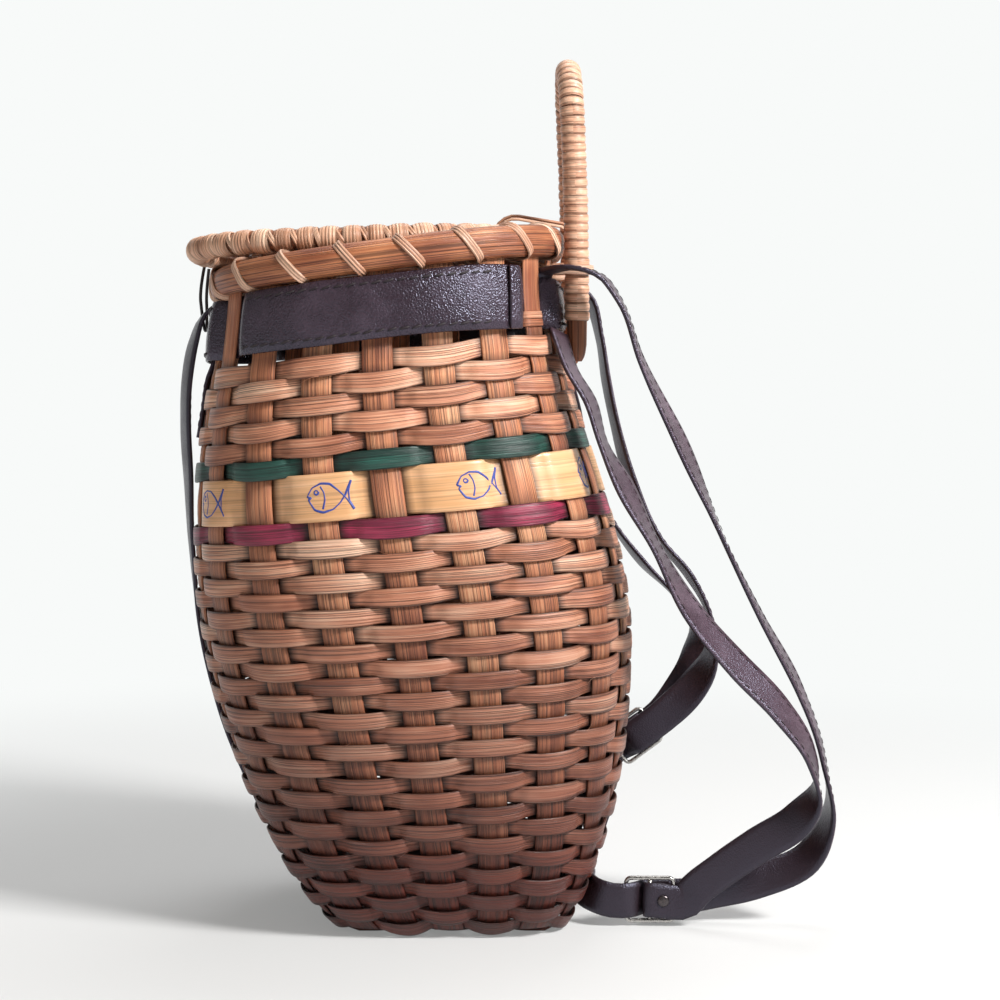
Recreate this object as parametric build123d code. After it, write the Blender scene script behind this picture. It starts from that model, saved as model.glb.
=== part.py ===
from build123d import *
import math
import os
from functools import lru_cache

# Wicker fishing creel. Sizes in millimetres. The origin is the middle of the base, +Z is up,
# +X points to the back of the creel, where the carrying handle and the shoulder straps are.

# Shape of the woven wall, measured to the middle of the stakes
base_half = 57.0
belly_front = 140.0
belly_front_height = 215.0
belly_back = 96.0
belly_back_height = 150.0
belly_side = 104.0
belly_side_height = 185.0
rim_front = 126.0
rim_back = 54.0
rim_side = 92.0
rim_height = 359.5
rim_slope = 0.13
fullness = 0.75
base_squareness = 5.5
rim_squareness = 2.6
squareness_height = 110.0
foot_height = 4.0

# Flat reed and the weave
way_stake_count = 5
stake_width = 16.0
stake_thickness = 1.6
weaver_thickness = 1.5
weave_gap = 0.3
stake_ease = 0.6
stake_sink = 1.0
row_gap = 0.8
natural_width = 8.1
natural_row_count = 25
maroon_width = 9.2
cream_width = 23.6
green_width = 9.2
upper_width = 9.4
upper_row_count = 5
rows_per_bend = 4
curved_row_count = 8
deepest_pass = 3.2

# Rim
rim_reed_height = 16.8
rim_reed_thickness = 7.0
lashing_width = 4.0
lashing_thickness = 0.9
lashing_gap = 0.5
lashing_slant = 2.6

# Neck band and front strap
leather_thickness = 2.2
leather_gap = 0.4
band_width = 33.3
band_clearance = 5.5
band_standoff = 4.0
band_back_drop = 11.3
band_foot_drop = 2.8
band_front_dip = 3.3
lap_length = 12.0
strap_width = 19.0
pinched_width = 11.6
strap_thickness = 2.4
strap_bulge = 13.0
strap_tail = 41.0

# Lid
lid_front_reach = 106.0
lid_back_reach = 70.5
lid_side_reach = 74.5
lid_squareness = 2.5
lid_border_radius = 6.8
lid_rise = 12.1
lid_slope = 0.03
lid_splint_count = 5
lid_splint_width = 12.0
lid_splint_pitch = 24.0
lid_weaver_width = 11.0
lid_weaver_pitch = 14.0
lid_weaver_rise = 3.7
lid_splint_gap = 0.8
hinge_rise = 3.0
hinge_loop_width = 4.2
hinge_loop_thickness = 0.9
hinge_slack = 1.4

# Carrying handle
handle_radius = 7.0
handle_tail_radius = 5.5
handle_tail_length = 24.0
handle_grip_drop = 29.5
handle_rise = 116.5
handle_lean = 4.5
handle_gap = 0.4
binding_width = 4.6
binding_thickness = 0.9
binding_rise = 1.0

# Shoulder straps and their buckles, with the middles of the buckles' bars
near_buckle_place = (107.0, -38.0, 14.5)
far_buckle_place = (105.0, 62.0, 86.0)
buckle_length = 28.0
buckle_wire = 2.4
buckle_corner = 2.6
buckle_slot_ease = 0.8
rivet_radius = 1.5
rivet_head_radius = 3.2
rivet_head_height = 1.2
rivet_place = 7.0

# Closing cord
cord_diameter = 1.8
cord_side = 13.0
cord_spread = 14.0
cord_drop = 36.0

stake_count = 4 * way_stake_count
stake_half = stake_width / 2 + stake_ease
stake_back = stake_thickness / 2 + weave_gap
pass_offset = stake_back + weaver_thickness / 2
band_top = rim_height - rim_reed_height / 2 - lashing_gap - lashing_thickness - leather_gap
band_bottom = band_top - band_width
handle_grip_foot = rim_height - handle_grip_drop
handle_foot = handle_grip_foot - handle_tail_length
handle_top = rim_height + handle_rise


# ---------------------------------------------------------------- solids from sections
def patch(a, b, c, d):
    """Faces of one four-cornered patch: one if it is flat, otherwise two triangles."""
    a, b, c, d = Vector(*a), Vector(*b), Vector(*c), Vector(*d)
    normal = (b - a).cross(d - a)
    if normal.length > 0 and abs(normal.normalized().dot(c - a)) < 1e-7:
        return [Face(Wire.make_polygon([a, b, c, d]))]
    return [Face(Wire.make_polygon([a, b, c])), Face(Wire.make_polygon([a, c, d]))]


def skin(first, second):
    """The faces between two sections with the same number of corners."""
    faces = []
    count = len(first)
    for i in range(count):
        j = (i + 1) % count
        faces += patch(first[i], first[j], second[j], second[i])
    return faces


def closed_solid(faces):
    solid = Solid(Shell(faces))
    if solid.volume < 0:
        solid = Solid(solid.wrapped.Reversed())
    return solid


def hoop(sections):
    """A closed ring through the sections."""
    faces = []
    for i, section in enumerate(sections):
        faces += skin(section, sections[(i + 1) % len(sections)])
    return closed_solid(faces)


def strip(sections):
    """An open strip through the sections, closed at both ends."""
    faces = []
    for first, second in zip(sections, sections[1:]):
        faces += skin(first, second)
    for end in (sections[0], sections[-1]):
        if len(end) == 4:
            faces += patch(*end)
        else:
            faces.append(Face(Wire.make_polygon([Vector(*p) for p in end])))
    return closed_solid(faces)


# ---------------------------------------------------------------- the wall surface
def reach(height, belly, belly_height, rim):
    """Distance of the wall from the base's middle line: it swells to the belly, then draws in."""
    if height <= belly_height:
        rise = max(height, 0.0) / belly_height
        return base_half + (belly - base_half) * math.sin(math.pi / 2 * rise ** fullness)
    fall = min((height - belly_height) / (rim_height - belly_height), 1.0)
    return belly - (belly - rim) * (1 - math.cos(math.pi * fall)) / 2


def tilt(height):
    """Slope of a level of the weave: the rows climb towards the back."""
    return rim_slope * height / rim_height


@lru_cache(maxsize=None)
def level(height):
    """Middle, half length, half width and squareness of the wall at one height."""
    climb = tilt(height) * (belly_front + belly_back) / 2
    front = reach(height - climb, belly_front, belly_front_height, rim_front)
    back = reach(height + climb, belly_back, belly_back_height, rim_back)
    side = reach(height, belly_side, belly_side_height, rim_side)
    left = max(1 - height / squareness_height, 0.0)
    squareness = rim_squareness + (base_squareness - rim_squareness) * left ** 2
    return (back - front) / 2, (back + front) / 2, side, squareness


def oval_quarter(half_length, half_width, squareness, samples=90):
    """Points of a quarter of a squared oval, with the distance along it."""
    points = []
    length = 0.0
    for i in range(samples + 1):
        angle = math.pi / 2 * i / samples
        x = half_length * max(math.cos(angle), 0.0) ** (2 / squareness)
        y = half_width * max(math.sin(angle), 0.0) ** (2 / squareness)
        if points:
            length += math.hypot(x - points[-1][1], y - points[-1][2])
        points.append((length, x, y))
    return points


@lru_cache(maxsize=None)
def quarter_of(height):
    middle, half_length, half_width, squareness = level(height)
    return oval_quarter(half_length, half_width, squareness)


def along_quarter(points, part):
    """The point at a part, 0 to 1, of the quarter's length."""
    target = part * points[-1][0]
    for before, after in zip(points, points[1:]):
        if target <= after[0]:
            f = (target - before[0]) / (after[0] - before[0])
            return before[1] + f * (after[1] - before[1]), before[2] + f * (after[2] - before[2])
    return points[-1][1], points[-1][2]


def oval_point(points, middle, share):
    """The point at a share of the whole oval, counted from the back towards the far side."""
    turn = (share % 1.0) * 4
    quarter = int(turn)
    part = turn - quarter
    x, y = along_quarter(points, part if quarter % 2 == 0 else 1 - part)
    x = x if quarter in (0, 3) else -x
    y = y if quarter in (0, 1) else -y
    return middle + x, y


@lru_cache(maxsize=None)
def stake_axes(height, place):
    """Point, run and outward direction of the wall at a stake place, in plan."""
    points = quarter_of(height)
    middle = level(height)[0]
    x, y = oval_point(points, middle, place / stake_count)
    step = 0.25 / stake_count
    ax, ay = oval_point(points, middle, place / stake_count - step)
    bx, by = oval_point(points, middle, place / stake_count + step)
    length = math.hypot(bx - ax, by - ay)
    run = ((bx - ax) / length, (by - ay) / length)
    return x, y, run[0], run[1], run[1], -run[0]


def row_heights():
    """Heights of the gaps between the rows: stepped along the wall to fill it up to the band."""
    widths = [natural_width] * natural_row_count + [maroon_width, cream_width, green_width]
    widths += [upper_width] * upper_row_count
    heights = [foot_height]
    for width in widths:
        low = heights[-1]
        here = level(low)
        above = level(low + 1.0)
        slope = (2 * (above[1] - here[1]) + 2 * (above[2] - here[2])) / 4
        heights.append(low + (width + row_gap) / math.hypot(1.0, slope))
    fill = (band_bottom - band_clearance - foot_height) / (heights[-1] - foot_height)
    return [foot_height + (height - foot_height) * fill for height in heights]


rows = row_heights()
stake_top = rim_height + rim_reed_height / 2 - stake_sink
bends = rows[:curved_row_count:rows_per_bend // 2]
bends += rows[curved_row_count:natural_row_count:rows_per_bend]
bends += [rows[natural_row_count], rows[natural_row_count + 2], rows[-1 - upper_row_count // 2 - 1],
          rows[-1], stake_top]


def on_wall(height, place, along=0.0, out=0.0):
    """A point beside the wall: stakes are straight between their bends, and all follows them."""
    i = 0
    while i < len(bends) - 2 and height > bends[i + 1]:
        i += 1
    low, high = bends[i], bends[i + 1]
    f = (height - low) / (high - low)
    ends = []
    for bend in (low, high):
        x, y, run_x, run_y, out_x, out_y = stake_axes(bend, place)
        ends.append((x + along * run_x + out * out_x, y + along * run_y + out * out_y))
    x = ends[0][0] + f * (ends[1][0] - ends[0][0])
    y = ends[0][1] + f * (ends[1][1] - ends[0][1])
    middle = level(low)[0] + f * (level(high)[0] - level(low)[0])
    return x, y, height + tilt(height) * (x - middle)


# ---------------------------------------------------------------- stakes and weavers
def base_places():
    """Where the stakes cross on the base, from the middle outwards."""
    half = way_stake_count // 2
    return [stake_axes(0.0, i)[1] for i in range(-half, half + 1)]


def wall_section(height, place, across):
    """Corners of a stake on the wall; across is 1 or -1, the way its width runs."""
    low, high = -across * stake_width / 2, across * stake_width / 2
    half = stake_thickness / 2
    corners = ((low, half), (high, half), (high, -half), (low, -half))
    return [on_wall(height, place, along, out) for along, out in corners]


def base_section(travel, across, low, lengthwise):
    """Corners of a stake on the base at a distance along it."""
    left, right = across - stake_width / 2, across + stake_width / 2
    corners = ((left, low), (right, low), (right, low + stake_thickness), (left, low + stake_thickness))
    if lengthwise:
        return [(travel, side, z) for side, z in corners]
    return [(side, travel, z) for side, z in corners]


def stake(index, lengthwise):
    """One long stake: down a wall, woven through the base, and up the opposite wall."""
    half = way_stake_count // 2
    crossings = base_places()
    across = crossings[index + half]
    if lengthwise:
        first, last = stake_count // 2 - index, index
        first_way, last_way = -1, 1
    else:
        first, last = 3 * stake_count // 4 + index, stake_count // 4 - index
        first_way, last_way = 1, -1
    sections = [wall_section(h, first, first_way) for h in reversed(bends)]
    for j, crossing in enumerate(crossings):
        under = (index + j - half) % 2 == (0 if lengthwise else 1)
        low = 0.0 if under else stake_thickness + weave_gap
        sections.append(base_section(crossing - stake_half, across, low, lengthwise))
        sections.append(base_section(crossing + stake_half, across, low, lengthwise))
    sections += [wall_section(h, last, last_way) for h in bends]
    return strip(sections)


def stakes(lengthwise):
    half = way_stake_count // 2
    return [stake(i, lengthwise) for i in range(-half, half + 1)]


def clears_behind(height, place, side):
    """Whether a weaver that bends once behind a stake clears its edge towards one neighbour."""
    x, y, run_x, run_y, out_x, out_y = stake_axes(height, place)
    next_x, next_y, next_run_x, next_run_y, next_out_x, next_out_y = stake_axes(height, place + side)
    end_x = next_x - side * stake_half * next_run_x + pass_offset * next_out_x - x
    end_y = next_y - side * stake_half * next_run_y + pass_offset * next_out_y - y
    end_along = side * (end_x * run_x + end_y * run_y)
    end_out = end_x * out_x + end_y * out_y
    edge = -deepest_pass + (end_out + deepest_pass) * stake_half / end_along
    return edge < -pass_offset - weave_gap / 2


def inner_columns(height, place):
    """Where a weaver bends behind a stake: once where it clears the edges, otherwise twice."""
    if clears_behind(height, place, 1) and clears_behind(height, place, -1):
        return [(0.0, -deepest_pass)]
    return [(-stake_half, -pass_offset), (stake_half, -pass_offset)]


def weaver(row):
    """One closed row of flat reed, over and under the stakes in turn."""
    low = rows[row] + row_gap / 2
    high = rows[row + 1] - row_gap / 2
    sections = []
    for place in range(stake_count):
        if (place + row) % 2 == 0:
            columns = [(-stake_half, pass_offset), (stake_half, pass_offset)]
        else:
            columns = inner_columns((low + high) / 2, place)
        for along, out in columns:
            near, far = out - weaver_thickness / 2, out + weaver_thickness / 2
            sections.append([on_wall(low, place, along, near), on_wall(low, place, along, far),
                             on_wall(high, place, along, far), on_wall(high, place, along, near)])
    return hoop(sections)


def weavers(first, last):
    return [weaver(row) for row in range(first, last)]


# ---------------------------------------------------------------- rim and its lashing
def rim_hoop(side):
    """A half-round reed that follows the stakes, outside (1) or inside (-1) of them."""
    seat = stake_back
    half = rim_reed_height / 2
    profile = ((seat, -half), (seat + 0.75 * rim_reed_thickness, -0.78 * half),
               (seat + rim_reed_thickness, 0.0), (seat + 0.75 * rim_reed_thickness, 0.78 * half),
               (seat, half))
    sections = []
    for place in range(stake_count):
        for along in (-stake_half, stake_half):
            sections.append([on_wall(rim_height + z, place, along, side * out) for out, z in profile])
    return hoop(sections)


def rim_lashing(place):
    """One turn of cane round both rim reeds, between two stakes."""
    out = stake_back + rim_reed_thickness + lashing_gap
    high = rim_reed_height / 2 + lashing_gap
    sections = []
    for side, rise in ((1, -1), (1, 1), (-1, 1), (-1, -1)):
        along = -rise * lashing_slant if side > 0 else 0.0
        section = []
        for thick, half in ((0, -1), (0, 1), (1, 1), (1, -1)):
            reach_out = side * (out + thick * lashing_thickness)
            z = rim_height + rise * (high + thick * lashing_thickness)
            section.append(on_wall(z, place, along + half * lashing_width / 2, reach_out))
        sections.append(section)
    return hoop(sections)


# ---------------------------------------------------------------- leather of the neck
def is_loop_stake(place):
    """The corner stakes of the front and back lie over the band and hold it as loops."""
    corner = way_stake_count // 2
    return (place + corner) % (stake_count // 2) in (0, 2 * corner)


def band_heights(x):
    """Lower and upper edge of the band: it sits lower on the wall towards the back."""
    middle, half_length = level(band_top)[:2]
    back = max(x - middle, 0.0) / half_length
    return band_bottom - band_foot_drop * back ** 2, band_top - band_back_drop * back ** 2


def band_section(place, along, inner, outer):
    """Corners of the band's leather; the front strap presses its edge down where it goes over."""
    x = on_wall(band_bottom, place, along)[0]
    low, high = band_heights(x)
    if place == stake_count // 2:
        high -= band_front_dip
    return [on_wall(low, place, along, inner), on_wall(low, place, along, outer),
            on_wall(high, place, along, outer), on_wall(high, place, along, inner)]


def neck_band():
    """The leather band round the wall under the rim."""
    sections = []
    for place in range(stake_count):
        if is_loop_stake(place):
            outer = -stake_back
            inner = outer - leather_thickness
        else:
            inner = band_standoff
            outer = inner + leather_thickness
        for along in (-stake_half, stake_half):
            sections.append(band_section(place, along, inner, outer))
    return hoop(sections)


def band_lap():
    """The lapped end of the band, sewn down over it beside the near back loop."""
    place = stake_count - way_stake_count // 2 - 1
    inner = band_standoff + leather_thickness + leather_gap / 2
    outer = inner + leather_thickness
    ends = (stake_half - lap_length, stake_half)
    return strip([band_section(place, along, inner, outer) for along in ends])


# ---------------------------------------------------------------- straps
def strap(route):
    """A flat strap along a route of points with the way its width runs, and its width if pinched."""
    points = [Vector(*stop[0]) for stop in route]
    sections = []
    for i, (point, across, *pinch) in enumerate(route):
        before, after = points[max(i - 1, 0)], points[min(i + 1, len(points) - 1)]
        run = (after - before).normalized()
        side = Vector(*across)
        side = (side - run * side.dot(run)).normalized()
        face = run.cross(side)
        half_side, half_face = side * ((pinch or [strap_width])[0] / 2), face * (strap_thickness / 2)
        corners = (-half_side - half_face, half_side - half_face, half_side + half_face,
                   half_face - half_side)
        sections.append([tuple(points[i] + corner) for corner in corners])
    return strip(sections)


def band_gap(side, height):
    """Where a strap passes behind the band, beside a loop stake: middle, width and inward way."""
    loop = stake_count - way_stake_count // 2 if side == "near" else way_stake_count // 2
    way = 1 if side == "near" else -1
    tucked = -stake_back - leather_thickness
    ax, ay, z = on_wall(height, loop, way * stake_half, tucked)
    bx, by, z = on_wall(height, loop + way, -way * stake_half, band_standoff)
    length = math.hypot(bx - ax, by - ay)
    wide_x, wide_y = (bx - ax) / length, (by - ay) / length
    back = pinched_width / 2 + binding_thickness + 4 * leather_gap
    return bx - back * wide_x, by - back * wide_y, wide_x, wide_y, -way * wide_y, way * wide_x


def over_band(side):
    """The end of a strap that comes up behind the band and over its edge."""
    edge = band_heights(band_gap(side, band_top)[0])[1]
    behind = leather_gap + strap_thickness / 2
    route = []
    for rise, inward in ((-9.0, behind), (0.4, behind), (behind + 2.2, 0.6), (behind + 2.8, -4.5)):
        height = edge + rise
        x, y, wide_x, wide_y, in_x, in_y = band_gap(side, height)
        z = on_wall(height, 0)[2] + tilt(height) * (x - on_wall(height, 0)[0])
        route.append(((x + inward * in_x, y + inward * in_y, z), (wide_x, wide_y, 0.0), pinched_width))
    return route


def buckle_axes(side):
    """Middle bar, direction of the strap, of its width, and away from the folded end."""
    if side == "near":
        middle, along, wide = Vector(*near_buckle_place), Vector(1, 0, 0), Vector(0, 0, 1)
    else:
        middle, along, wide = Vector(*far_buckle_place), Vector(0.80, -0.05, 0.6), Vector(0.6, 0, -0.8)
    along = along.normalized()
    wide = (wide - along * wide.dot(along)).normalized()
    return middle, along, wide, wide.cross(along)


def in_buckle(side, travel, depth, height=0.0):
    middle, along, wide, away = buckle_axes(side)
    return tuple(middle + along * travel + away * depth + wide * height)


ply = strap_thickness / 2 + buckle_slot_ease / 2 + buckle_wire / 2
bar_place = buckle_length / 2 - buckle_wire / 2
frame_half = strap_width / 2 + buckle_slot_ease + buckle_wire / 2


def buckle(side):
    """A wire frame with a middle bar that the folded strap end turns on."""
    middle, along, wide, away = buckle_axes(side)
    r = buckle_wire / 2
    ring = []
    for sx, sz in ((1, 1), (-1, 1), (-1, -1), (1, -1)):
        side_first = (sx * bar_place, sz * (frame_half - buckle_corner))
        end_first = (sx * (bar_place - buckle_corner), sz * frame_half)
        ring += [side_first, end_first] if sx * sz > 0 else [end_first, side_first]
    sections = []
    for i, (travel, height) in enumerate(ring):
        out = Vector(travel / bar_place, height / frame_half, 0).normalized()
        section = []
        for k in range(6):
            a = math.pi / 3 * k
            section.append(in_buckle(side, travel + r * math.cos(a) * out.X, r * math.sin(a),
                                     height + r * math.cos(a) * out.Y))
        sections.append(section)
    bar = []
    for height in (-frame_half + r + 0.05, frame_half - r - 0.05):
        bar.append([in_buckle(side, r * math.cos(math.pi / 3 * k), r * math.sin(math.pi / 3 * k), height)
                    for k in range(6)])
    return [hoop(sections), strip(bar)]


def folded_end(side):
    """The end of a strap, coming in over the frame, round the middle bar and back as a short tail."""
    wide = tuple(buckle_axes(side)[2])
    route = [(bar_place + 7.0, -ply), (2.0, -ply), (0.0, -ply)]
    route += [(-ply * math.sin(math.radians(a)), -ply * math.cos(math.radians(a))) for a in (45, 90, 135)]
    route += [(0.0, ply), (bar_place - buckle_wire / 2 - 1.2, ply)]
    return [(in_buckle(side, travel, depth), wide) for travel, depth in route]


def running_end(side):
    """The strap where it runs behind the fold, through the slot and over the end bar."""
    wide = tuple(buckle_axes(side)[2])
    deep = ply + strap_thickness + rivet_head_height + leather_gap
    route = [(bar_place + 8.0, deep), (3.0, deep), (-1.2, deep - 0.6), (-3.4, deep - 2.1), (-10.7, -ply),
             (-bar_place - 8.0, -ply)]
    return [(in_buckle(side, travel, depth), wide) for travel, depth in route]


def rivet(side, grow=0.0):
    """A rivet through both plies of the folded end; grow makes the hole for it."""
    depth = ply + strap_thickness / 2 + 0.15
    middle, along, wide, away = buckle_axes(side)
    foot = Vector(*in_buckle(side, rivet_place, -depth))
    shank_plane = Plane(origin=foot, x_dir=along, z_dir=away)
    shank = extrude(shank_plane * RegularPolygon(rivet_radius + grow, 8), 2 * depth)
    if grow:
        return shank
    far_plane = Plane(origin=foot + away * (2 * depth), x_dir=along, z_dir=away)
    near_plane = Plane(origin=foot, x_dir=along, z_dir=-away)
    near_head = extrude(near_plane * RegularPolygon(rivet_head_radius, 10), rivet_head_height, taper=30)
    far_head = extrude(far_plane * RegularPolygon(rivet_head_radius, 10), rivet_head_height, taper=30)
    return shank + near_head + far_head


flush = pass_offset + weaver_thickness / 2 + leather_gap + strap_thickness / 2


def anchor_route(side):
    """The last of a strap, flat against the foot of the back wall."""
    route = []
    if side == "near":
        for place in (-1.15, -0.55):
            low = on_wall(10.0, place, 0.0, flush + leather_gap)
            high = on_wall(24.0, place, 0.0, flush + leather_gap)
            centre = tuple((a + b) / 2 for a, b in zip(low, high))
            route.append((centre, tuple(b - a for a, b in zip(low, high))))
        return route
    for height, proud in ((rows[4] + 8.0, 3.4), (rows[4], 1.5), (rows[2], 0.4), (rows[0] + 6.0, 0.2)):
        place = 1.25
        low = on_wall(height, place, -1.0, flush + proud)
        high = on_wall(height, place, 1.0, flush + proud)
        centre = tuple((a + b) / 2 for a, b in zip(low, high))
        route.append((centre, tuple(a - b for a, b in zip(low, high))))
    return route


def long_strap(side):
    """From the band's edge, out and down behind the creel, through the buckle and to the foot."""
    route = over_band(side)
    if side == "near":
        up = (0.15, 1.0, 0.1)
        crest = rim_height - 4.5
        route += [((66, -57, crest), (0.3, 1, 0)), ((80, -56, crest - 5), (0.3, 1, 0)),
                  ((89, -55, crest - 17), up), ((101, -54, crest - 49), up),
                  ((122, -52, 263), (0.4, 1, 0.2)), ((149, -49, 202), (0.1, 1, 0.0)),
                  ((166, -46, 168), up), ((187, -43, 129), (0.2, 1, 0.2)), ((200, -40, 92), (0.2, 1, 0.1)),
                  ((204, -37, 60), (-0.1, 1, 0.5)), ((193, -34, 36), (-0.3, 0.7, 0.9)),
                  ((166, -31.5, 23), (-0.2, 0.3, 1.0)), ((142, -30.5, 17), (0, 0, 1))]
        bridge = [((80, -40, 16), (0.1, 0, 1))]
    else:
        up = (0.15, -1.0, 0.1)
        crest = rim_height - 6.5
        route += [((66, 57, crest), (0.3, -1, 0)), ((77, 56, crest - 8), (0.3, -1, 0)),
                  ((84, 56, crest - 30), up), ((88, 55, crest - 56), up), ((93, 54, 272), up),
                  ((102, 53, 239), (0.2, -1, 0.1)), ((119, 52, 203), (0.2, -1, 0)), ((137, 51, 181), up),
                  ((149, 51, 156), (0.1, -1, -0.2)), ((149, 52, 134), (0.2, -0.9, -0.5)),
                  ((139, 53.5, 116), (0.5, -0.5, -0.8))]
        bridge = [((84, 58, 62), (0.5, -0.5, -0.6)), ((83, 47, 52), (0.3, -0.9, -0.3))]
    route += running_end(side) + bridge + anchor_route(side)
    return strap(route)


def strap_return(side):
    """From under the band down beside the long strap, to the folded end on the buckle."""
    if side == "near":
        start = on_wall(band_bottom - 5.0, stake_count - 1.5, 0.0, 6.2)
        route = [(start, (0.5, 1, 0)), ((64, -57, 300), (0.4, 1, 0)), ((73, -60, 285), (0.4, 1, 0)),
                 ((80, -62, 262), (0.3, 1, 0)), ((91, -64, 240), (0.5, 1, 0.2)),
                 ((107, -65, 209), (0.2, 1, 0.2)), ((128, -65, 172), (0.5, 1, 0.5)),
                 ((151, -64, 145), (0.6, 1, 0.8)), ((174, -62, 121), (0.5, 1, 0.7)),
                 ((190, -60, 97), (0.2, 1, 0.6)), ((194, -57, 76), (0, 1, 0.8)),
                 ((184, -53, 60), (-0.3, 0.5, 1)), ((164, -49, 46), (-0.4, 0.2, 1)),
                 ((144, -45, 31), (-0.4, 0.1, 1)), ((130, -42, 19), (-0.1, 0, 1))]
    else:
        start = on_wall(band_bottom - 5.0, 1.5, 0.0, 6.2)
        route = [(start, (0.5, -1, 0)), ((63, 60, 300), (0.4, -1, 0)), ((69, 70, 280), (0.4, -1, 0)),
                 ((77, 80, 250), (0.1, -1, 0)), ((91, 84, 215), (0.1, -1, 0)), ((112, 84, 186), (0.2, -1, 0)),
                 ((132, 82, 166), (0.2, -1, -0.2)), ((143, 77, 148), (0.4, -1, -0.5)),
                 ((142, 71, 131), (0.5, -0.6, -0.8)), ((132, 66, 112), (0.6, -0.2, -0.8))]
    body = strap(route + folded_end(side))
    return body - rivet(side, grow=0.25)


def front_strap():
    """Up the middle of the front, over the band and down behind it, with its tail below."""
    edge = band_top - band_front_dip
    over = edge + leather_gap + strap_thickness / 2
    behind = (stake_thickness / 2 + band_standoff) / 2
    before = band_standoff + strap_thickness / 4
    shares = (0.0, 0.0, 0.0, 0.0, 0.0, 0.0, 0.08, 0.15, 0.23, 0.27, 0.46, 0.85)
    stops = [(h, flush + share * strap_bulge) for h, share in zip([bends[0] + 6.0] + bends[1:12], shares)]
    stops += [(edge - 16.0, flush + strap_bulge), (edge - 4.0, flush + 0.75 * strap_bulge),
              (edge + leather_gap + 1.0, flush + 0.37 * strap_bulge), (over + 0.9, before),
              (over - 0.9, behind), (edge - 6.0, behind), (band_bottom + 1.0, behind),
              (rows[-1] - 0.5, flush), (bends[-3], flush), (band_bottom - strap_tail, flush + 1.0)]
    return strap([(on_wall(height, stake_count // 2, 0.0, out), (0.0, 1.0, 0.0)) for height, out in stops])


# ---------------------------------------------------------------- handle
def rod(points, radii, sides=8):
    """A round rod along points that lie in a plane across X."""
    points = [Vector(*p) for p in points]
    sections = []
    for i, point in enumerate(points):
        run = (points[min(i + 1, len(points) - 1)] - points[max(i - 1, 0)]).normalized()
        side = (Vector(1, 0, 0) - run * run.X).normalized()
        other = run.cross(side)
        section = []
        for k in range(sides):
            a = 2 * math.pi * (k + 0.5) / sides
            section.append(tuple(point + side * (radii[i] * math.cos(a)) + other * (radii[i] * math.sin(a))))
        sections.append(section)
    return strip(sections)


def handle_seat():
    """Axis of a handle leg: it stands against the outer rim reed in front of a stake."""
    out = stake_back + rim_reed_thickness + handle_gap + handle_radius
    return on_wall(rim_height, 1, 0.0, out)


def handle_axis(height):
    """How far the handle leans forward at a height."""
    part = (height - handle_grip_foot) / (handle_top - handle_grip_foot)
    return handle_seat()[0] - handle_lean * max(part, 0.0) ** 2


def handle_grip():
    """The cane-wrapped arch."""
    half_span = handle_seat()[1]
    spring = handle_top - handle_radius - half_span
    leg = spring - handle_grip_foot
    heights = [handle_grip_foot + leg * part for part in (0.0, 0.4, 0.74, 1.0)]
    points = [(-half_span, z) for z in heights]
    for i in range(1, 12):
        angle = math.pi * i / 12
        points.append((-half_span * math.cos(angle), spring + half_span * math.sin(angle)))
    points += [(half_span, z) for z in reversed(heights)]
    return rod([(handle_axis(z), y, z) for y, z in points], [handle_radius] * len(points))


def handle_tail(side):
    """The bare end of the handle's core below the wrap, thinned towards its tip."""
    x, y = handle_seat()[:2]
    heights = (handle_grip_foot - leather_gap, handle_foot + 8.0, handle_foot)
    radii = (handle_tail_radius, handle_tail_radius, handle_tail_radius * 0.6)
    return rod([(x, side * y, z) for z in heights], radii)


def handle_binding(side):
    """A turn of cane round the handle leg and the stake behind it, under the rim."""
    place = side % stake_count
    edge = band_heights(on_wall(band_top, place)[0])[1]
    low, high = edge + binding_rise, edge + binding_rise + binding_width
    out = stake_back + rim_reed_thickness + 2 * handle_gap + 2 * handle_radius
    sections = []
    for along, depth in ((1, 0), (1, 1), (-1, 1), (-1, 0)):
        section = []
        for thick, height in ((0, low), (1, low), (1, high), (0, high)):
            skin_along = along * (stake_width / 2 + 0.3 + thick * binding_thickness)
            skin_out = out if depth else -stake_back
            skin_out += (thick if depth else -thick) * binding_thickness
            section.append(on_wall(height, place, skin_along, skin_out))
        sections.append(section)
    return hoop(sections)


# ---------------------------------------------------------------- lid
lid_middle = level(rim_height)[0]


def lid_z(x):
    return rim_height + lid_rise + lid_slope * x


def lid_border_section(x, y, out_x, out_y):
    """Corners of the round border hoop at a point of its middle line."""
    section = []
    for k in range(8):
        a = math.pi / 4 * (k + 0.5)
        out, rise = lid_border_radius * math.cos(a), lid_border_radius * math.sin(a)
        section.append((x + out * out_x, y + out * out_y, lid_z(x) + rise))
    return section


def lid_border():
    """The border hoop: a squared oval with a longer front than back."""
    front = oval_quarter(lid_front_reach, lid_side_reach, lid_squareness)
    back = oval_quarter(lid_back_reach, lid_side_reach, lid_squareness)
    steps = 8
    ring = []
    for i in range(4 * steps):
        share = i / (4 * steps)
        points = back if share < 0.25 or share >= 0.75 else front
        ring.append(oval_point(points, lid_middle, share))
    sections = []
    for i, (x, y) in enumerate(ring):
        ax, ay = ring[i - 1]
        bx, by = ring[(i + 1) % len(ring)]
        length = math.hypot(bx - ax, by - ay)
        sections.append(lid_border_section(x, y, (by - ay) / length, -(bx - ax) / length))
    return hoop(sections)


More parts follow.
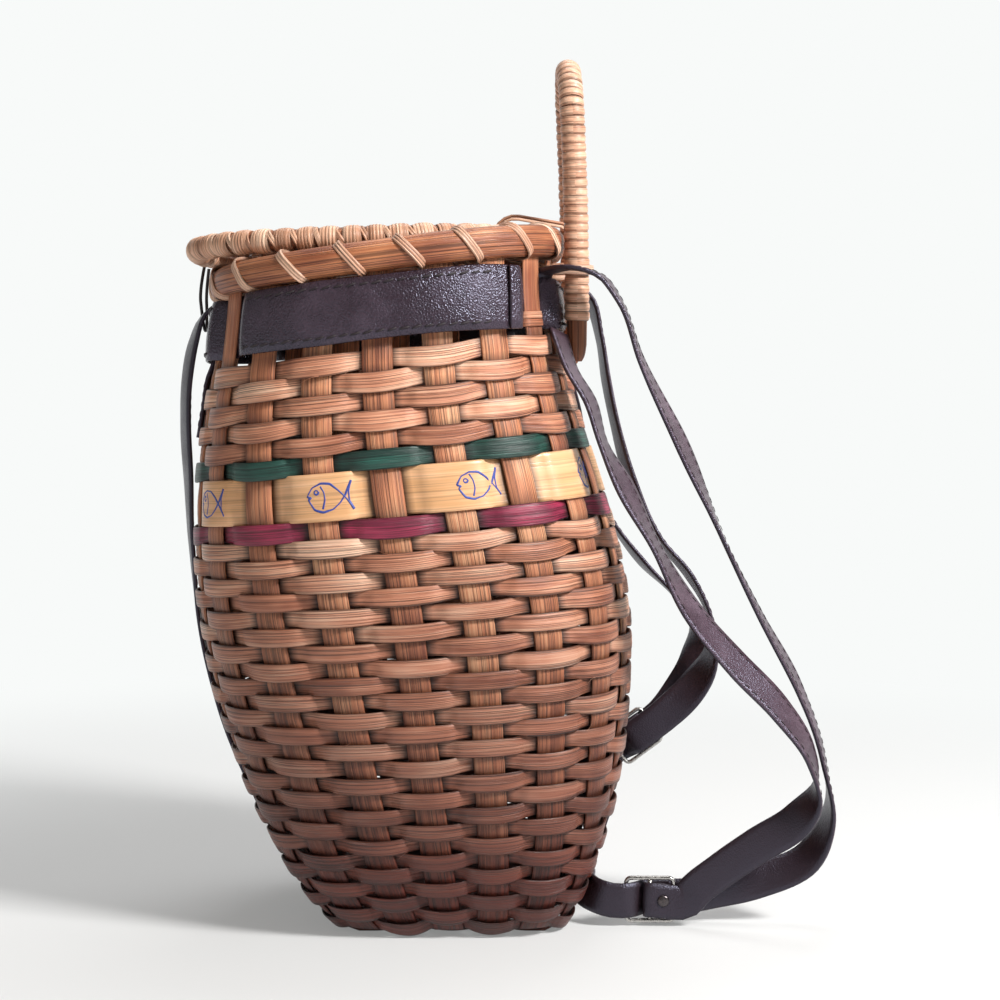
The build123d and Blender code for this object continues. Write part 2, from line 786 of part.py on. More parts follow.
def lid_inset(first, first_reach, second_reach):
    """Where a splint edge at a distance from the middle line meets the inside of the border."""
    share = min(abs(first) / first_reach, 0.999)
    second = (1 - share ** lid_squareness) ** (1 / lid_squareness)
    steep_first = share ** (lid_squareness - 1) / first_reach
    steep_second = second ** (lid_squareness - 1) / second_reach
    slant = steep_second / math.hypot(steep_first, steep_second)
    return second * second_reach - (lid_border_radius + lid_splint_gap) / slant


def lid_splint(y):
    """A lid splint that runs from front to back."""
    edge = abs(y) + lid_splint_width / 2
    front = lid_middle - lid_inset(edge, lid_side_reach, lid_front_reach)
    back = lid_middle + lid_inset(edge, lid_side_reach, lid_back_reach)
    half = stake_thickness / 2
    sections = []
    for x in (front, back):
        sections.append([(x, y + side * lid_splint_width / 2, lid_z(x) + rise * half)
                         for side, rise in ((-1, -1), (1, -1), (1, 1), (-1, 1))])
    return strip(sections)


def lid_splint_places():
    return [lid_splint_pitch * (i - lid_splint_count // 2) for i in range(lid_splint_count)]


def lid_weaver(index):
    """A lid splint that runs from side to side, over and under the others."""
    offset = index * lid_weaver_pitch
    edge = abs(offset) + lid_weaver_width / 2
    length_reach = lid_back_reach if offset > 0 else lid_front_reach
    end = lid_inset(edge, length_reach, lid_side_reach)
    x = lid_middle + offset
    columns = []
    for i, y in enumerate(lid_splint_places()):
        rise = lid_weaver_rise if (i + index) % 2 else -lid_weaver_rise
        if abs(y) - lid_splint_width / 2 - stake_ease < end:
            columns.append((max(min(y, end - 0.5), 0.5 - end), rise))
    first, last = columns[0], columns[-1]
    clear = lid_splint_width / 2 + 2.0
    columns.insert(0, (-end, 0.0 if end > abs(first[0]) + clear else first[1]))
    columns.append((end, 0.0 if end > abs(last[0]) + clear else last[1]))
    half = weaver_thickness / 2
    sections = []
    for y, rise in columns:
        corners = ((-1, -1), (1, -1), (1, 1), (-1, 1))
        sections.append([(x + side * lid_weaver_width / 2,
                          y, lid_z(x + side * lid_weaver_width / 2) + rise + thick * half)
                         for side, thick in corners])
    return strip(sections)


def lid_weaver_indices():
    usable = lid_weaver_width / 2 + lid_border_radius * 2.2
    first = math.ceil((usable - lid_front_reach) / lid_weaver_pitch)
    last = math.floor((lid_back_reach - usable) / lid_weaver_pitch)
    return range(first, last + 1)


def hinge_axis():
    """The line that the lid turns about, above the back of its border hoop."""
    x = lid_middle + lid_back_reach
    return x, lid_z(x) + hinge_rise


def hinge_loop(place):
    """A slack turn of cane round the rim and the back of the lid's border hoop."""
    axis_x, axis_z = hinge_axis()
    y = on_wall(rim_height, place)[1]
    out = stake_back + rim_reed_thickness + lashing_gap
    half = rim_reed_height / 2 + lashing_gap
    outer_x, inner_x = on_wall(rim_height, place, 0.0, out)[0], on_wall(rim_height, place, 0.0, -out)[0]
    low, high = on_wall(rim_height - half, place)[2], on_wall(rim_height + half, place)[2]
    around = hinge_rise + lid_border_radius + hinge_slack
    path = [(outer_x, low), (outer_x, high)]
    for degrees in (75, 105, 135, 165, 195, 225, 255):
        angle = math.radians(degrees)
        path.append((axis_x + around * math.cos(angle), axis_z + around * math.sin(angle)))
    path.append((inner_x, low))
    sections = []
    for i, (x, z) in enumerate(path):
        ways = []
        for ax, az, bx, bz in ((*path[i - 1], x, z), (x, z, *path[(i + 1) % len(path)])):
            length = math.hypot(bx - ax, bz - az)
            ways.append(((bz - az) / length, (ax - bx) / length))
        (ax, az), (bx, bz) = ways
        mitre = hinge_loop_thickness / (1 + ax * bx + az * bz)
        sections.append([(x + thick * mitre * (ax + bx), y + side * hinge_loop_width / 2,
                          z + thick * mitre * (az + bz))
                         for thick, side in ((0, -1), (0, 1), (1, 1), (1, -1))])
    return hoop(sections)


# ---------------------------------------------------------------- closing cord
def closing_cord():
    """A thin cord that hangs as a loop from the front of the lid's border, beside the strap."""
    x = lid_middle - lid_front_reach
    top = lid_z(x) - lid_border_radius - 0.1
    y0, y1 = cord_side, cord_side + cord_spread
    route = [(x, y0, top), (x - 2.6, y0 - 0.6, top - 0.38 * cord_drop), (x - 1.4, y0, top - 0.72 * cord_drop),
             (x - 0.4, y0 + 3.2, top - cord_drop), (x - 0.3, y1 - 3.2, top - cord_drop + 0.3),
             (x - 0.6, y1, top - 0.7 * cord_drop), (x - 1.2, y1 + 0.9, top - 0.36 * cord_drop),
             (x + 0.6, y1 - 0.4, top)]
    points = [Vector(*p) for p in route]
    radii = []
    for a, b, c in zip(points, points[1:], points[2:]):
        turn = (b - a).get_angle(c - b)
        radii.append(0.45 * min((b - a).length, (c - b).length) / math.tan(math.radians(turn / 2)))
    print("cord radii", [round(r, 1) for r in radii])
    path = FilletPolyline(*points, radius=radii)
    start = Plane(origin=path @ 0, z_dir=path % 0)
    cord = sweep(start * RegularPolygon(cord_diameter / 2, 6), path=path)
    area = RegularPolygon(cord_diameter / 2, 6).area
    print("cord length", round(path.length, 1), "volume over section times length",
          round(cord.volume / (area * path.length), 4))
    return cord


# ---------------------------------------------------------------- the whole creel
def lashing_places():
    hinges = (0.5, stake_count - 0.5)
    return [i + 0.5 for i in range(stake_count) if i + 0.5 not in hinges]


def build():
    first = natural_row_count // 3
    second = 2 * natural_row_count // 3
    return {
        "stakes_lengthwise": stakes(True),
        "stakes_crosswise": stakes(False),
        "weavers_foot": weavers(0, first),
        "weavers_lower": weavers(first, second),
        "weavers_middle": weavers(second, natural_row_count),
        "weaver_maroon": weavers(natural_row_count, natural_row_count + 1),
        "weaver_cream": weavers(natural_row_count + 1, natural_row_count + 2),
        "weaver_green": weavers(natural_row_count + 2, natural_row_count + 3),
        "weavers_upper": weavers(natural_row_count + 3, natural_row_count + 3 + upper_row_count),
        "rim_reed_outer": [rim_hoop(1)],
        "rim_reed_inner": [rim_hoop(-1)],
        "rim_lashing": [rim_lashing(place) for place in lashing_places()],
        "neck_band": [neck_band()],
        "neck_band_lap": [band_lap()],
        "front_strap": [front_strap()],
        "near_strap": [long_strap("near")],
        "near_strap_return": [strap_return("near")],
        "near_buckle": buckle("near"),
        "far_strap": [long_strap("far")],
        "far_strap_return": [strap_return("far")],
        "far_buckle": buckle("far"),
        "strap_rivets": [rivet("near"), rivet("far")],
        "handle_grip": [handle_grip()],
        "handle_tails": [handle_tail(-1), handle_tail(1)],
        "handle_bindings": [handle_binding(-1), handle_binding(1)],
        "hinge_loops": [hinge_loop(0.5), hinge_loop(stake_count - 0.5)],
        "lid_border": [lid_border()],
        "lid_splints": [lid_splint(y) for y in lid_splint_places()],
        "lid_weavers": [lid_weaver(i) for i in lid_weaver_indices()],
        "closing_cord": [closing_cord()],
    }


os.makedirs("parts", exist_ok=True)
for name, solids in build().items():
    shape = solids[0] if len(solids) == 1 else Compound(children=solids)
    export_step(shape, "parts/" + name + ".step")
print("hinge axis", [round(v, 2) for v in hinge_axis()])
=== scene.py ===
import bpy
import bmesh
import math
import random
import numpy as np
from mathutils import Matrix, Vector


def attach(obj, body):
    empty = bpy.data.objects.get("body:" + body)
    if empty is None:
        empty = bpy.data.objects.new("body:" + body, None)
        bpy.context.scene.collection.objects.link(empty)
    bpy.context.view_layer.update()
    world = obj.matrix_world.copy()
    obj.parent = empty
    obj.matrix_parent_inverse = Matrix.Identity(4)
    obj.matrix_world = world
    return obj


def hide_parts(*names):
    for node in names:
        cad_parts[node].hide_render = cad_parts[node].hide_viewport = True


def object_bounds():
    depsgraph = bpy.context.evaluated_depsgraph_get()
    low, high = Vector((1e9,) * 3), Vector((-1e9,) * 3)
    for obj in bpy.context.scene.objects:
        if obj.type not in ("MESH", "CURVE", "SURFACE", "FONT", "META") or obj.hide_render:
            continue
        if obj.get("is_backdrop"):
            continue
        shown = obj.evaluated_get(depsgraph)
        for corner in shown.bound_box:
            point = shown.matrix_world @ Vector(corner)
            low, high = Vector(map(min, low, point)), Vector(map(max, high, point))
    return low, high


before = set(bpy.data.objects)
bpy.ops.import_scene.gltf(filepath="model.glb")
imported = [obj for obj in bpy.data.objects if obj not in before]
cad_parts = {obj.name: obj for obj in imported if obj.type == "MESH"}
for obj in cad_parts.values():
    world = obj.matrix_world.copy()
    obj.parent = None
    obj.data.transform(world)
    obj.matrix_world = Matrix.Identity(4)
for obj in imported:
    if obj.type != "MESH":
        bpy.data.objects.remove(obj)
cad_box = [[float(c) for c in corner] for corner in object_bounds()]
scene = bpy.context.scene
scene.view_settings.view_transform = "Standard"


# ------------------------------------------------------------------ camera
# A level camera below the height of the rim, about a metre from the creel. Its picture is
# shifted down instead of the camera being tipped, so that uprights stay upright.
mm = 0.001
camera = bpy.data.cameras.new("camera")
camera.lens = 70.2
camera.sensor_width = 36.0
camera.shift_y = -0.1
camera_object = bpy.data.objects.new("camera", camera)
camera_object.location = (25.8 * mm, -1095 * mm, 285 * mm)
camera_object.rotation_euler = (math.radians(90), 0, 0)
scene.collection.objects.link(camera_object)
scene.camera = camera_object


# ------------------------------------------------------------------ floor and light
# A pale sweep of paper under and behind the creel, with a lamp over the front right, weaker
# ones on the left and from above, and an even pale room all round.
def linear(hex_colour):
    """A colour written as sRGB hex, as the linear values that a shader takes."""
    parts = [int(hex_colour[i:i + 2], 16) / 255 for i in (1, 3, 5)]
    return tuple(p / 12.92 if p <= 0.04045 else ((p + 0.055) / 1.055) ** 2.4 for p in parts) + (1.0,)


def node(tree, kind, inputs=None, **settings):
    """A node in a tree, with its settings and the values or links of its inputs."""
    made = tree.nodes.new(kind)
    for key, value in settings.items():
        setattr(made, key, value)
    for key, value in (inputs or {}).items():
        if isinstance(value, bpy.types.NodeSocket):
            tree.links.new(value, made.inputs[key])
        else:
            made.inputs[key].default_value = value
    return made


def new_material(name):
    """An empty material with its output node."""
    material = bpy.data.materials.new(name)
    material.use_nodes = True
    tree = material.node_tree
    tree.nodes.clear()
    return material, tree, tree.nodes.new("ShaderNodeOutputMaterial")


# Matt paper: it takes the creel's shadow near it and fades to an even pale ground further off.
paper, tree, output = new_material("pale_paper")
ray = node(tree, "ShaderNodeLightPath")
seen = node(tree, "ShaderNodeMath", {0: ray.outputs["Is Camera Ray"], 1: ray.outputs["Is Glossy Ray"]},
            operation="MAXIMUM")
where = node(tree, "ShaderNodeTexCoord")
away = node(tree, "ShaderNodeVectorMath", {0: where.outputs["Object"]}, operation="LENGTH")
far = node(tree, "ShaderNodeMapRange", {"Value": away.outputs["Value"], "From Min": 0.25, "From Max": 0.95,
                                        "To Min": 0.24, "To Max": 1.0}, interpolation_type="SMOOTHSTEP")
lit = node(tree, "ShaderNodeBsdfDiffuse", {"Color": linear("#dfe0e1")})
glow = node(tree, "ShaderNodeEmission", {"Color": linear("#f8faf9"), "Strength": 1.0})
share = node(tree, "ShaderNodeMath", {0: seen.outputs[0], 1: far.outputs[0]}, operation="MULTIPLY")
mixed = node(tree, "ShaderNodeMixShader", {0: share.outputs[0], 1: lit.outputs[0], 2: glow.outputs[0]})
tree.links.new(mixed.outputs[0], output.inputs["Surface"])

sweep = [(-2.2, 0.0), (2.0, 0.0)] + [(2.0 + 1.2 * math.sin(a), 1.2 - 1.2 * math.cos(a))
                                    for a in (math.pi / 16 * k for k in range(1, 9))] + [(3.2, 4.0)]
floor_mesh = bpy.data.meshes.new("floor")
floor_mesh.from_pydata([(side, y, z) for y, z in sweep for side in (-4.0, 4.0)], [],
                       [(2 * i, 2 * i + 1, 2 * i + 3, 2 * i + 2) for i in range(len(sweep) - 1)])
floor = bpy.data.objects.new("floor", floor_mesh)
floor_mesh.materials.append(paper)
floor_mesh.shade_smooth()
scene.collection.objects.link(floor)
floor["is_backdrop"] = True

world = bpy.data.worlds.new("pale_room")
world.use_nodes = True
scene.world = world
room = world.node_tree.nodes["Background"]
room.inputs["Color"].default_value = linear("#fbf7f2")
room.inputs["Strength"].default_value = 0.22
beyond = node(world.node_tree, "ShaderNodeBackground", {"Color": linear("#f8faf9"), "Strength": 1.0})
looking = node(world.node_tree, "ShaderNodeLightPath")
both = node(world.node_tree, "ShaderNodeMixShader", {
    0: looking.outputs["Is Camera Ray"], 1: room.outputs[0], 2: beyond.outputs[0]})
world.node_tree.links.new(both.outputs[0], world.node_tree.nodes["World Output"].inputs["Surface"])
for name, place, size, watts, tint in (("key", (1.4, -1.05, 1.4), 0.45, 66.0, "#fffdfa"),
                                       ("fill", (-1.2, -1.4, 0.6), 1.2, 2.0, "#fff0e0"),
                                       ("top", (0.1, 0.5, 1.7), 0.8, 10.0, "#ffffff")):
    lamp = bpy.data.lights.new(name, "AREA")
    lamp.size = size
    lamp.energy = watts
    lamp.color = linear(tint)[:3]
    lamp_object = bpy.data.objects.new(name, lamp)
    lamp_object.location = place
    lamp_object.rotation_euler = (Vector((0, 0, 0.2)) - Vector(place)).to_track_quat("-Z", "Y").to_euler()
    scene.collection.objects.link(lamp_object)


# ------------------------------------------------------------------ stakes
# Ten long flat reeds cross in the base and stand up as the wall's stakes, five each way.
# They are split rattan, stained red-brown, 16 mm wide and under 2 mm thick, with a fine grain.
base_half, rim_height, rim_slope, fullness = 57.0, 359.5, 0.13, 0.75
belly_front, belly_front_height, rim_front = 140.0, 215.0, 126.0
belly_back, belly_back_height, rim_back = 96.0, 150.0, 54.0
belly_side, belly_side_height, rim_side = 104.0, 185.0, 92.0
base_squareness, rim_squareness, squareness_height = 5.5, 2.6, 110.0
stake_half, stake_count = 8.0, 20
row_gap, natural_width, natural_rows, upper_width, upper_rows = 0.8, 8.1, 25, 9.4, 5
band_widths = (9.2, 23.6, 9.2)


def wall_reach(height, belly, belly_height, rim):
    """Distance of the wall from the base's middle line: it swells to the belly, then draws in."""
    if height <= belly_height:
        rise = max(height, 0.0) / belly_height
        return base_half + (belly - base_half) * math.sin(math.pi / 2 * rise ** fullness)
    fall = min((height - belly_height) / (rim_height - belly_height), 1.0)
    return belly - (belly - rim) * (1 - math.cos(math.pi * fall)) / 2


def wall_level(height):
    """Middle, half length, half width and squareness of the wall at a height."""
    climb = rim_slope * height / rim_height * (belly_front + belly_back) / 2
    front = wall_reach(height - climb, belly_front, belly_front_height, rim_front)
    back = wall_reach(height + climb, belly_back, belly_back_height, rim_back)
    side = wall_reach(height, belly_side, belly_side_height, rim_side)
    left = max(1 - height / squareness_height, 0.0)
    return (back - front) / 2, (back + front) / 2, side, \
        rim_squareness + (base_squareness - rim_squareness) * left ** 2


def oval(half_length, half_width, squareness):
    """A closed squared oval: shares of its length, x and y."""
    a = np.linspace(0, math.pi / 2, 91)
    x = half_length * np.maximum(np.cos(a), 0) ** (2 / squareness)
    y = half_width * np.maximum(np.sin(a), 0) ** (2 / squareness)
    xs = np.concatenate([x, -x[::-1][1:], -x[1:], x[::-1][1:]])
    ys = np.concatenate([y, y[::-1][1:], -y[1:], -y[::-1][1:]])
    run = np.concatenate([[0], np.cumsum(np.hypot(np.diff(xs), np.diff(ys)))])
    return run / run[-1], xs, ys, run[-1]


def wall_line(height, places, out=0.0):
    """Points of the wall at a height and at places round it (20 to the whole), set outwards."""
    middle, half_length, half_width, squareness = wall_level(height)
    shares, xs, ys, _ = oval(half_length, half_width, squareness)
    share = np.asarray(places, float) / stake_count
    x, y = (np.interp(share % 1, shares, s) for s in (xs, ys))
    step = 0.25 / stake_count
    run_x, run_y = (np.interp((share + step) % 1, shares, s) - np.interp((share - step) % 1, shares, s)
                    for s in (xs, ys))
    size = np.hypot(run_x, run_y)
    z = height + rim_slope * height / rim_height * x
    return np.stack([middle + x + out * run_y / size, y - out * run_x / size, z + 0 * x], axis=-1)


def wall_pitch(height):
    """Distance between stakes at a height."""
    return oval(*wall_level(height)[1:])[3] / stake_count


rows = [4.0]
for width in [natural_width] * natural_rows + list(band_widths) + [upper_width] * upper_rows:
    here, above = wall_level(rows[-1]), wall_level(rows[-1] + 1.0)
    slope = (above[1] - here[1] + above[2] - here[2]) / 2
    rows.append(rows[-1] + (width + row_gap) / math.hypot(1.0, slope))
rows = np.array(rows)
stake_top = rim_height + 7.4


def round_off(points):
    """Distance along a line of points."""
    return np.concatenate([[0], np.cumsum(np.linalg.norm(np.diff(points, axis=0), axis=1))])


def reed_mesh(name, strands):
    """One mesh from strands. Each is a grid of points, along it and round it, closed or capped.
    The map holds metres along and round the strand; shade and strand are kept for the material."""
    vertices, faces, map_points, shades, marks = [], [], [], [], []
    for mark, (grid, closed, shade) in enumerate(strands):
        n, m = grid.shape[:2]
        first = len(vertices)
        vertices += [tuple(p) for p in grid.reshape(-1, 3) * mm]
        shades += list(np.broadcast_to(shade, (n, m)).reshape(-1))
        marks += [(mark * 0.618034) % 1.0] * (n * m)
        loop = np.concatenate([grid, grid[:1]]) if closed else grid
        u = round_off(loop.mean(axis=1)) * mm
        v = round_off(np.concatenate([grid[n // 2], grid[n // 2][:1]])) * mm
        for i in range(len(loop) - 1):
            a, b = first + i * m, first + (i + 1) % n * m
            for j in range(m):
                k = (j + 1) % m
                faces.append((a + j, b + j, b + k, a + k))
                map_points += [(u[i], v[j]), (u[i + 1], v[j]), (u[i + 1], v[j + 1]), (u[i], v[j + 1])]
        if not closed:
            faces.append(tuple(first + j for j in range(m)))
            map_points += [(u[0], v[j]) for j in range(m)]
            faces.append(tuple(first + (n - 1) * m + j for j in reversed(range(m))))
            map_points += [(u[-1], v[j]) for j in reversed(range(m))]
    mesh = bpy.data.meshes.new(name)
    mesh.from_pydata(vertices, [], faces)
    mesh.uv_layers.new(name="along").data.foreach_set("uv", np.array(map_points, np.float32).ravel())
    for label, values in (("shade", shades), ("strand", marks)):
        attribute = mesh.attributes.new(label, "FLOAT", "POINT")
        attribute.data.foreach_set("value", np.array(values, np.float32))
    shell = bmesh.new()
    shell.from_mesh(mesh)
    bmesh.ops.recalc_face_normals(shell, faces=shell.faces)
    shell.to_mesh(mesh)
    shell.free()
    mesh.shade_smooth()
    made = bpy.data.objects.new(name, mesh)
    scene.collection.objects.link(made)
    return made


def reed_material(name, dark, middle, light, low=None, fibre=2600.0, rough=0.5, depth=0.12, streak=0.55,
                  lines=0.45, vary=0.16):
    """Split rattan: fibres that run along the strand, tone that drifts along it, and painted shade where
    its shade attribute is low.
    """
    material, tree, output = new_material(name)
    along = node(tree, "ShaderNodeUVMap", uv_map="along")
    strand = node(tree, "ShaderNodeAttribute", attribute_name="strand")
    shade = node(tree, "ShaderNodeAttribute", attribute_name="shade")
    shift = node(tree, "ShaderNodeCombineXYZ", {"Z": node(tree, "ShaderNodeMath", {
        0: strand.outputs["Fac"], 1: 40.0}, operation="MULTIPLY").outputs[0]})
    place = node(tree, "ShaderNodeVectorMath", {0: along.outputs[0], 1: shift.outputs[0]}, operation="ADD")
    fine = node(tree, "ShaderNodeVectorMath", {0: place.outputs[0], 1: (22.0, fibre, 1.0)},
                operation="MULTIPLY")
    fibres = node(tree, "ShaderNodeTexNoise", {"Vector": fine.outputs[0], "Scale": 1.0, "Detail": 3.0,
                                               "Roughness": 0.6})
    broad = node(tree, "ShaderNodeVectorMath", {0: place.outputs[0], 1: (9.0, fibre * 0.22, 1.0)},
                 operation="MULTIPLY")
    bands = node(tree, "ShaderNodeTexNoise", {"Vector": broad.outputs[0], "Scale": 1.0, "Detail": 2.0})
    patch = node(tree, "ShaderNodeVectorMath", {0: place.outputs[0], 1: (26.0, 60.0, 1.0)},
                 operation="MULTIPLY")
    patches = node(tree, "ShaderNodeTexNoise", {"Vector": patch.outputs[0], "Scale": 1.0, "Detail": 2.0})
    grain = node(tree, "ShaderNodeMix", {0: streak, 2: bands.outputs["Fac"], 3: fibres.outputs["Fac"]})
    tone = node(tree, "ShaderNodeMix", {0: 0.42, 2: grain.outputs[0], 3: patches.outputs["Fac"]})
    spread = node(tree, "ShaderNodeMath", {0: strand.outputs["Fac"], 1: vary, 2: -vary / 2},
                  operation="MULTIPLY_ADD")
    level = node(tree, "ShaderNodeMath", {0: tone.outputs[0], 1: spread.outputs[0]}, operation="ADD")
    ramp = node(tree, "ShaderNodeValToRGB", {"Fac": level.outputs[0]})
    ramp.color_ramp.elements[0].position, ramp.color_ramp.elements[0].color = 0.36, linear(dark)
    ramp.color_ramp.elements[1].position, ramp.color_ramp.elements[1].color = 0.66, linear(light)
    ramp.color_ramp.elements.new(0.5).color = linear(middle)
    colour = ramp.outputs["Color"]
    # Darker and redder towards the bottom, by height: partly the reed's own tone, partly painted shade
    # where less light reaches the lower wall.
    if low:
        where = node(tree, "ShaderNodeTexCoord")
        height = node(tree, "ShaderNodeSeparateXYZ", {0: where.outputs["Object"]})
        low_tone_and_shade = node(tree, "ShaderNodeMapRange", {"Value": height.outputs["Z"], "From Min": 0.0,
                                                  "From Max": 0.25, "To Min": 1.15, "To Max": 0.0},
                     clamp=False)
        stained = node(tree, "ShaderNodeMix", {0: low_tone_and_shade.outputs[0], 6: colour, 7: linear(low)},
                       data_type="RGBA", blend_type="MULTIPLY")
        colour = stained.outputs[2]
    split = node(tree, "ShaderNodeVectorMath", {0: place.outputs[0], 1: (7.0, fibre * 0.8, 1.0)},
                 operation="MULTIPLY")
    splits = node(tree, "ShaderNodeTexNoise", {"Vector": split.outputs[0], "Scale": 1.0, "Detail": 1.0})
    grooves = node(tree, "ShaderNodeMapRange", {"Value": splits.outputs["Fac"], "From Min": 0.4,
                                                "From Max": 0.47, "To Min": lines, "To Max": 1.08})
    lined = node(tree, "ShaderNodeMix", {0: 1.0, 6: colour, 7: grooves.outputs[0]},
                 data_type="RGBA", blend_type="MULTIPLY")
    colour = lined.outputs[2]
    # Painted shade: the colour is multiplied down towards a deep red-brown where the shade attribute is
    # low, in the dips behind other strands and at edges and grooves.
    painted_shade = node(tree, "ShaderNodeMix", {0: shade.outputs["Fac"], 6: linear("#2a0f07"),
                                        7: linear("#ffffff")}, data_type="RGBA")
    painted_shade_applied = node(tree, "ShaderNodeMix", {0: 1.0, 6: colour, 7: painted_shade.outputs[2]},
                  data_type="RGBA", blend_type="MULTIPLY")
    height = node(tree, "ShaderNodeMath", {0: grain.outputs[0], 1: grooves.outputs[0]},
                  operation="MULTIPLY")
    bump = node(tree, "ShaderNodeBump", {"Height": height.outputs[0], "Strength": 1.0,
                                         "Distance": depth * mm * 4})
    gloss = node(tree, "ShaderNodeMapRange", {"Value": grain.outputs[0], "From Min": 0.3, "From Max": 0.7,
                                              "To Min": rough + 0.12, "To Max": rough - 0.08})
    surface = node(tree, "ShaderNodeBsdfPrincipled", {
        "Base Color": painted_shade_applied.outputs[2], "Roughness": gloss.outputs[0], "Normal": bump.outputs[0],
        "Specular IOR Level": 0.6})
    tree.links.new(surface.outputs[0], output.inputs["Surface"])
    return material


# Stakes and rows take the low colour towards the bottom: partly their own tone, partly painted shade.
natural_reed = reed_material("stained_reed", "#8c4e34", "#d29070", "#fbd2b4", low="#6e3c2e",
                             fibre=3000.0, rough=0.4, lines=0.38, vary=0.12)
stake_reed = reed_material("stake_reed", "#8a4a30", "#c9835c", "#efbd92", low="#6e3c2e", fibre=2300.0,
                           vary=0.08)


def stake_strand(index, lengthwise):
    """One long stake: down one wall, over and under through the base, and up the other wall."""
    crossings = [wall_line(0.0, [i])[0][1] for i in range(-2, 3)]
    across = crossings[index + 2]
    if lengthwise:
        first, last, first_way, last_way = 10 - index, index, -1, 1
    else:
        first, last, first_way, last_way = 15 + index, 5 - index, 1, -1
    edge = stake_half - 0.5
    profile = [(-stake_half, -0.2), (-edge, 0.72), (-3.0, 0.92), (3.0, 0.92), (edge, 0.72),
               (stake_half, -0.2), (7.4, -0.8), (-7.4, -0.8)]
    heights = np.concatenate([np.linspace(4.5, 16, 4), np.linspace(20, stake_top, 78)])
    sections, shades = [], []

    def up_the_wall(place, way):
        """Sections of the stake up the wall at a place, each with its painted shade."""
        found = []
        for height in heights:
            turn = np.interp(height, rows, np.arange(len(rows))) - 0.5
            bow = -0.55 * math.cos(math.pi * (place + turn)) if height < rows[-1] else 0.0
            pitch = wall_pitch(height)
            places = np.array([place + way * a / pitch for a, t in profile])
            base = wall_line(height, places)
            skin = wall_line(height, places, 1.0) - base
            outs = np.array([t + bow for a, t in profile])
            # Painted shade: the stake darkens where a row's pass lies over it, and is nearly full above the
            # rows.
            bare = height > rows[-1] + 3
            found.append((base + skin * outs[:, None],
                          0.95 if bare else 0.6 + 0.4 * math.cos(math.pi * (place + turn + 1))))
        return found

    down = up_the_wall(first, first_way)[::-1]
    for points, shade in down:
        sections.append(points)
        shades.append([shade] * len(profile))
    for travel in np.linspace(crossings[0] - 8.5, crossings[-1] + 8.5, 41):
        turn = np.interp(travel, crossings, np.arange(5))
        under = math.cos(math.pi * (index + turn)) * (1 if lengthwise else -1)
        z = 1.95 - 0.95 * under
        points = [(travel, across + a, z - t) if lengthwise else (across + a, travel, z - t)
                  for a, t in profile]
        sections.append(np.array(points))
        # Painted shade under the base.
        shades.append([0.7] * len(profile))
    for points, shade in up_the_wall(last, last_way):
        sections.append(points)
        shades.append([shade] * len(profile))
    return np.array(sections), False, np.array(shades)


for name, lengthwise in (("stakes_lengthwise", True), ("stakes_crosswise", False)):
    stakes = reed_mesh(name + "_reed", [stake_strand(i, lengthwise) for i in range(-2, 3)])
    stakes.data.materials.append(stake_reed)
    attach(stakes, "basket")
    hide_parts(name)


# ------------------------------------------------------------------ woven rows
# Closed rows of flat-oval reed go over one stake and under the next, each row the other way
# round. Near the neck one row is dyed maroon, one is wide and left cream, and one is dyed green.
steps_per_place, cream_row = 16, 26
swing_out, swing_in, swing_flat = 2.6, 2.1, 0.55
row_places = np.arange(stake_count * steps_per_place) / steps_per_place


def drift(seed, places, size):
    """A small smooth wander round the wall, one value for each stake place."""
    values = [random.Random(seed * 1000 + i).uniform(-size, size) for i in range(stake_count)]
    low = np.floor(places).astype(int)
    part = (1 - np.cos(math.pi * (places - low))) / 2
    return np.array([values[i % stake_count] for i in low]) * (1 - part) + \
        np.array([values[(i + 1) % stake_count] for i in low]) * part


def reed_points(row, places, across, out):
    """Points of a row's reed: across its width from -1 to 1, and out from the middle of its thickness."""
    places = np.asarray(places, float)
    wave = np.cos(math.pi * (places + row))
    swing = np.sign(wave) * np.abs(wave) ** swing_flat * np.where(wave > 0, swing_out, swing_in)
    swing = swing + drift(row + 50, places, 0.38) + 0.3
    flat = row == cream_row
    sag = 0.0 if flat else 0.55 + 1.3 * max(1 - rows[row] / 110.0, 0)
    middle = (rows[row] + rows[row + 1]) / 2 + drift(row, places, 0.2 if flat else 0.85) - sag * wave
    bulge = 0.0 if flat else 0.07
    half = (rows[row + 1] - rows[row]) / 2 * (1.02 + bulge * wave + drift(row + 90, places, bulge))
    low = wall_line(rows[row], places)
    high = wall_line(rows[row + 1], places)
    skin = wall_line(rows[row], places, 1.0) - low
    full = rows[row + 1] - rows[row]
    share = (middle - rows[row] + across * half) / full
    return low + (high - low) * share[:, None] + skin * (swing + out)[:, None]


reed_profile = [(-1.0, -0.3), (-0.97, 0.5), (-0.84, 0.78), (-0.42, 0.94), (0.0, 0.9), (0.42, 0.96),
                (0.84, 0.8), (0.97, 0.52), (1.0, -0.3), (0.8, -0.72), (-0.8, -0.72)]


def row_strand(row):
    """One closed row, with painted shade where it passes behind the stakes and towards its edges. The cream
    row is wide and flat, so it has squarer edges and no painted shade at them.
    """
    wide = row == cream_row
    profile = [(a, o * 0.6 if abs(a) < 0.9 else o) for a, o in reed_profile] if wide else reed_profile
    grid = np.stack([reed_points(row, row_places, across, out) for across, out in profile], axis=1)
    # Painted shade: near fades the row to dark where it goes behind a stake, and edge darkens it towards
    # its two edges, where the rows meet.
    wave = np.cos(math.pi * (row_places + row))
    near = np.clip((wave + 0.8) / 0.44, 0, 1)
    shade = 0.04 + 0.96 * near * near * (3 - 2 * near)
    edge = np.array([1.0 if wide else 1.0 - 0.8 * abs(across) ** 9 for across, out in profile])
    return grid, True, shade[:, None] * edge


